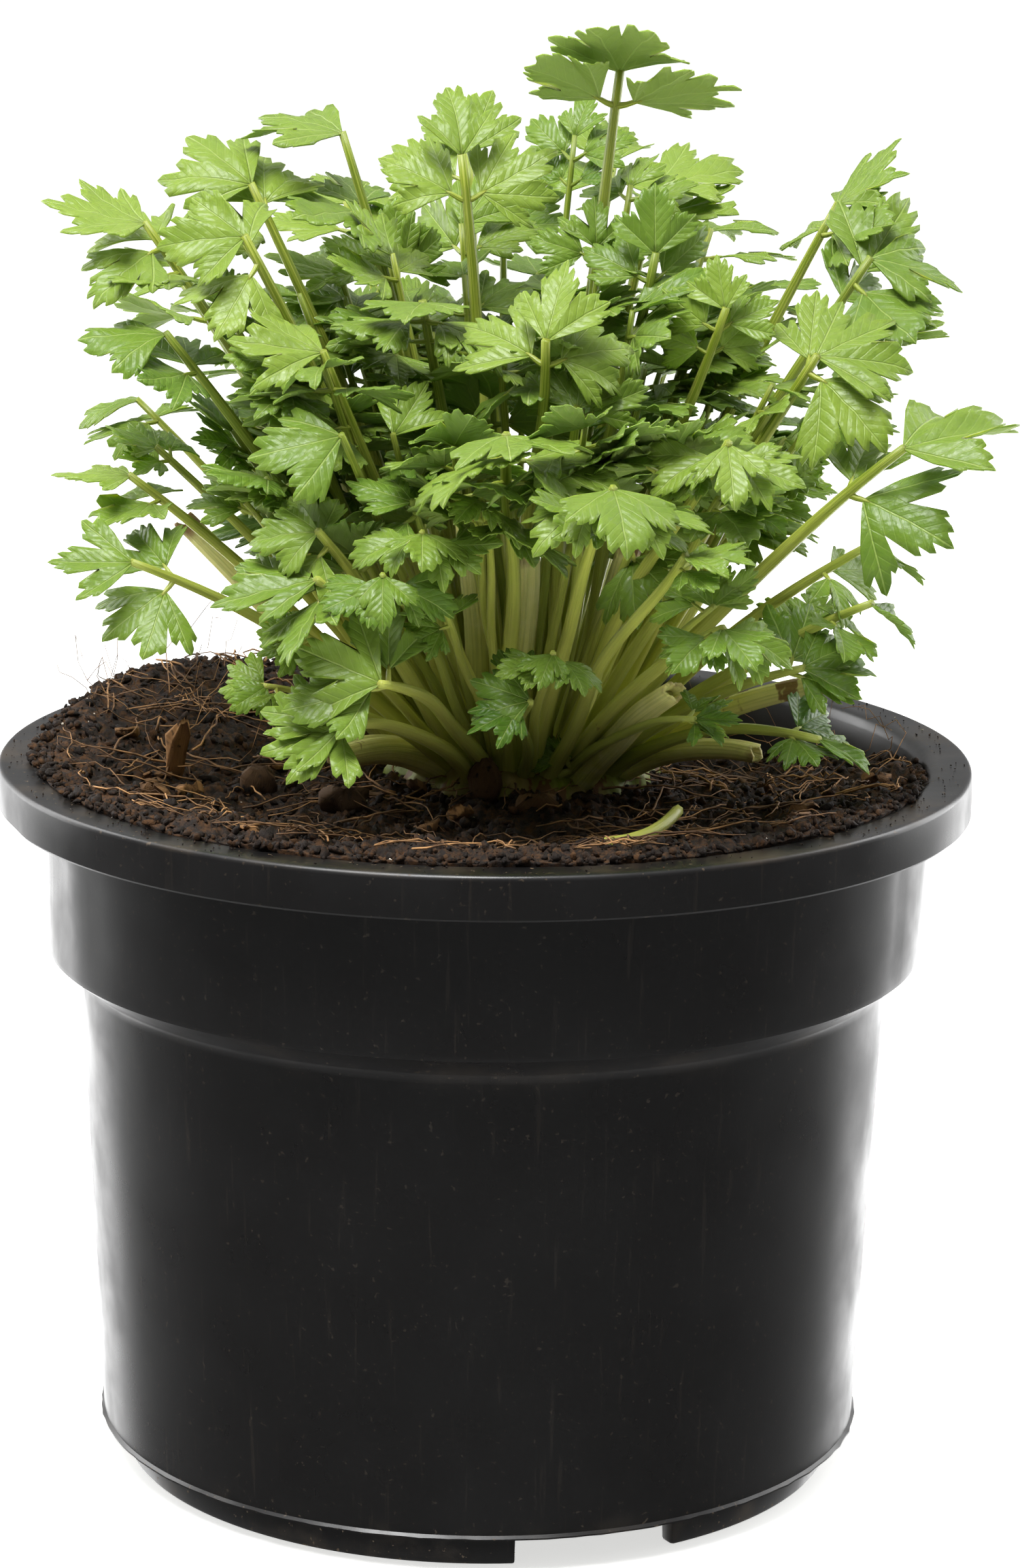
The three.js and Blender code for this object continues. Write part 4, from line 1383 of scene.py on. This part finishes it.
class CELERY_OT_stage(bpy.types.Operator):
    """The pale floor, the soft lights and the camera"""

    bl_idname = "celery.stage"
    bl_label = "Floor, lights and camera"

    def execute(self, context):
        s = context.scene.celery_stage
        self.floor(s)
        self.sky(context)
        self.lamp("softbox_left", (-0.75, 0.45, 0.45), 0.5, 0.9, 6)
        self.lamp("softbox_right", (0.75, 0.45, 0.45), 0.5, 0.9, 6)
        self.lamp("softbox_above", (-0.2, -0.35, 1.1), 0.5, 0.5, 17)
        self.camera(context, s)
        return {"FINISHED"}

    def floor(self, s):
        deselect()
        bpy.ops.mesh.primitive_plane_add(size=30)
        floor = bpy.context.object
        floor.name = "studio_floor"
        bpy.ops.object.mode_set(mode="EDIT")
        bpy.ops.mesh.subdivide(number_cuts=8)
        bpy.ops.object.mode_set(mode="OBJECT")
        material, tree = start_material("studio_paper")
        place = add(tree, "TexCoord").outputs["Object"]
        rough = between(tree, noise_of(tree, place, 400, 2), 0.3, 0.7, 0.8, 0.95)
        end_material(tree, Base_Color=opaque(s.floor), Roughness=rough,
                     Emission_Color=opaque(s.floor), Emission_Strength=0.7,
                     Specular_IOR_Level=0.0)
        floor.data.materials.append(material)
        floor.visible_glossy = False

    def sky(self, context):
        """White all round to look at. As a light it is bright above and dim in front, and the
        gloss of the pot sees a lit floor behind it and below it."""
        world = bpy.data.worlds.new("studio")
        context.scene.world = world
        world.use_nodes = True
        tree = world.node_tree
        tree.nodes.clear()
        way = add(tree, "SeparateXYZ", {0: add(tree, "TexCoord").outputs["Generated"]})
        path = add(tree, "LightPath")
        behind = between(tree, way.outputs["Y"], -0.3, 0.7, 0.0, 0.25)
        above = between(tree, way.outputs["Z"], 0.1, 0.9, 0.0, 0.45)
        level = calculate(tree, "ADD", calculate(tree, "ADD", behind, above), 0.08)
        low = between(tree, way.outputs["Z"], 0.02, -0.08)
        lit_floor = calculate(tree, "MULTIPLY", low,
                              between(tree, way.outputs["Y"], 0.5, 0.9, 0.0, 3.0))
        under = between(tree, way.outputs["Z"], -0.55, -0.8, 0.0, 0.18)
        gloss = calculate(tree, "MULTIPLY", path.outputs["Is Glossy Ray"],
                          calculate(tree, "ADD", lit_floor, under))
        level = calculate(tree, "ADD", level, gloss)
        soft = add(tree, "Background", {"Color": (1, 1, 1, 1), "Strength": level})
        white = add(tree, "Background", {"Color": (1, 1, 1, 1), "Strength": 1.0})
        both = add(tree, "MixShader", {0: path.outputs["Is Camera Ray"], 1: soft.outputs[0],
                   2: white.outputs[0]})
        add(tree, "OutputWorld", {"Surface": both.outputs[0]})

    def lamp(self, name, place, width, height, watts):
        light = bpy.data.lights.new(name, "AREA")
        light.shape = "RECTANGLE"
        light.size = width
        light.size_y = height
        light.energy = watts
        lamp = bpy.data.objects.new(name, light)
        bpy.context.scene.collection.objects.link(lamp)
        lamp.location = place
        aim = Vector((0, 0, 0.15)) - Vector(place)
        lamp.rotation_euler = aim.to_track_quat("-Z", "Y").to_euler()

    def camera(self, context, s):
        data = bpy.data.cameras.new("studio_camera")
        data.lens = 107.1
        data.sensor_width = 36
        camera = bpy.data.objects.new("studio_camera", data)
        context.scene.collection.objects.link(camera)
        yaw, down, roll = (math.radians(a) for a in (0.31, 13.39, 0.76))
        ahead = Vector((math.sin(yaw) * math.cos(down), math.cos(yaw) * math.cos(down),
                        -math.sin(down)))
        right = Vector((math.cos(yaw), -math.sin(yaw), 0))
        up = right.cross(ahead)
        across = right * math.cos(roll) + up * math.sin(roll)
        upward = up * math.cos(roll) - right * math.sin(roll)
        turn = Matrix((across, upward, -ahead)).transposed().to_4x4()
        camera.matrix_world = Matrix.Translation((0, -s.distance, s.eye)) @ turn
        context.scene.camera = camera
        context.scene.view_settings.view_transform = "Standard"


class CELERY_PT_panel(bpy.types.Panel):
    """Buttons for each piece, and the sizes and colours they use"""

    bl_idname = "CELERY_PT_panel"
    bl_label = "Potted celery"
    bl_space_type = "VIEW_3D"
    bl_region_type = "UI"
    bl_category = "Celery"

    def draw(self, context):
        layout = self.layout
        for operator in OPERATORS:
            layout.operator(operator.bl_idname)
        for group in SETTINGS:
            settings = getattr(context.scene, group)
            box = layout.box()
            for name in settings.__annotations__:
                box.prop(settings, name)


OPERATORS = (CELERY_OT_pot, CELERY_OT_soil, CELERY_OT_soil_litter, CELERY_OT_crown,
             CELERY_OT_stubs, CELERY_OT_leaves, CELERY_OT_small_leaves, CELERY_OT_fallen_stalk,
             CELERY_OT_stage)
SETTINGS = {"celery_pot": PotSettings, "celery_soil": SoilSettings,
            "celery_plant": PlantSettings, "celery_stage": StageSettings}


def register():
    for name, group in SETTINGS.items():
        bpy.utils.register_class(group)
        setattr(bpy.types.Scene, name, PointerProperty(type=group))
    for operator in OPERATORS:
        bpy.utils.register_class(operator)
    bpy.utils.register_class(CELERY_PT_panel)


def unregister():
    bpy.utils.unregister_class(CELERY_PT_panel)
    for operator in reversed(OPERATORS):
        bpy.utils.unregister_class(operator)
    for name, group in SETTINGS.items():
        delattr(bpy.types.Scene, name)
        bpy.utils.unregister_class(group)


def main():
    register()
    for operator in OPERATORS:
        group, name = operator.bl_idname.split(".")
        getattr(getattr(bpy.ops, group), name)()
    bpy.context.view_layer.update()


if __name__ == "__main__":
    main()
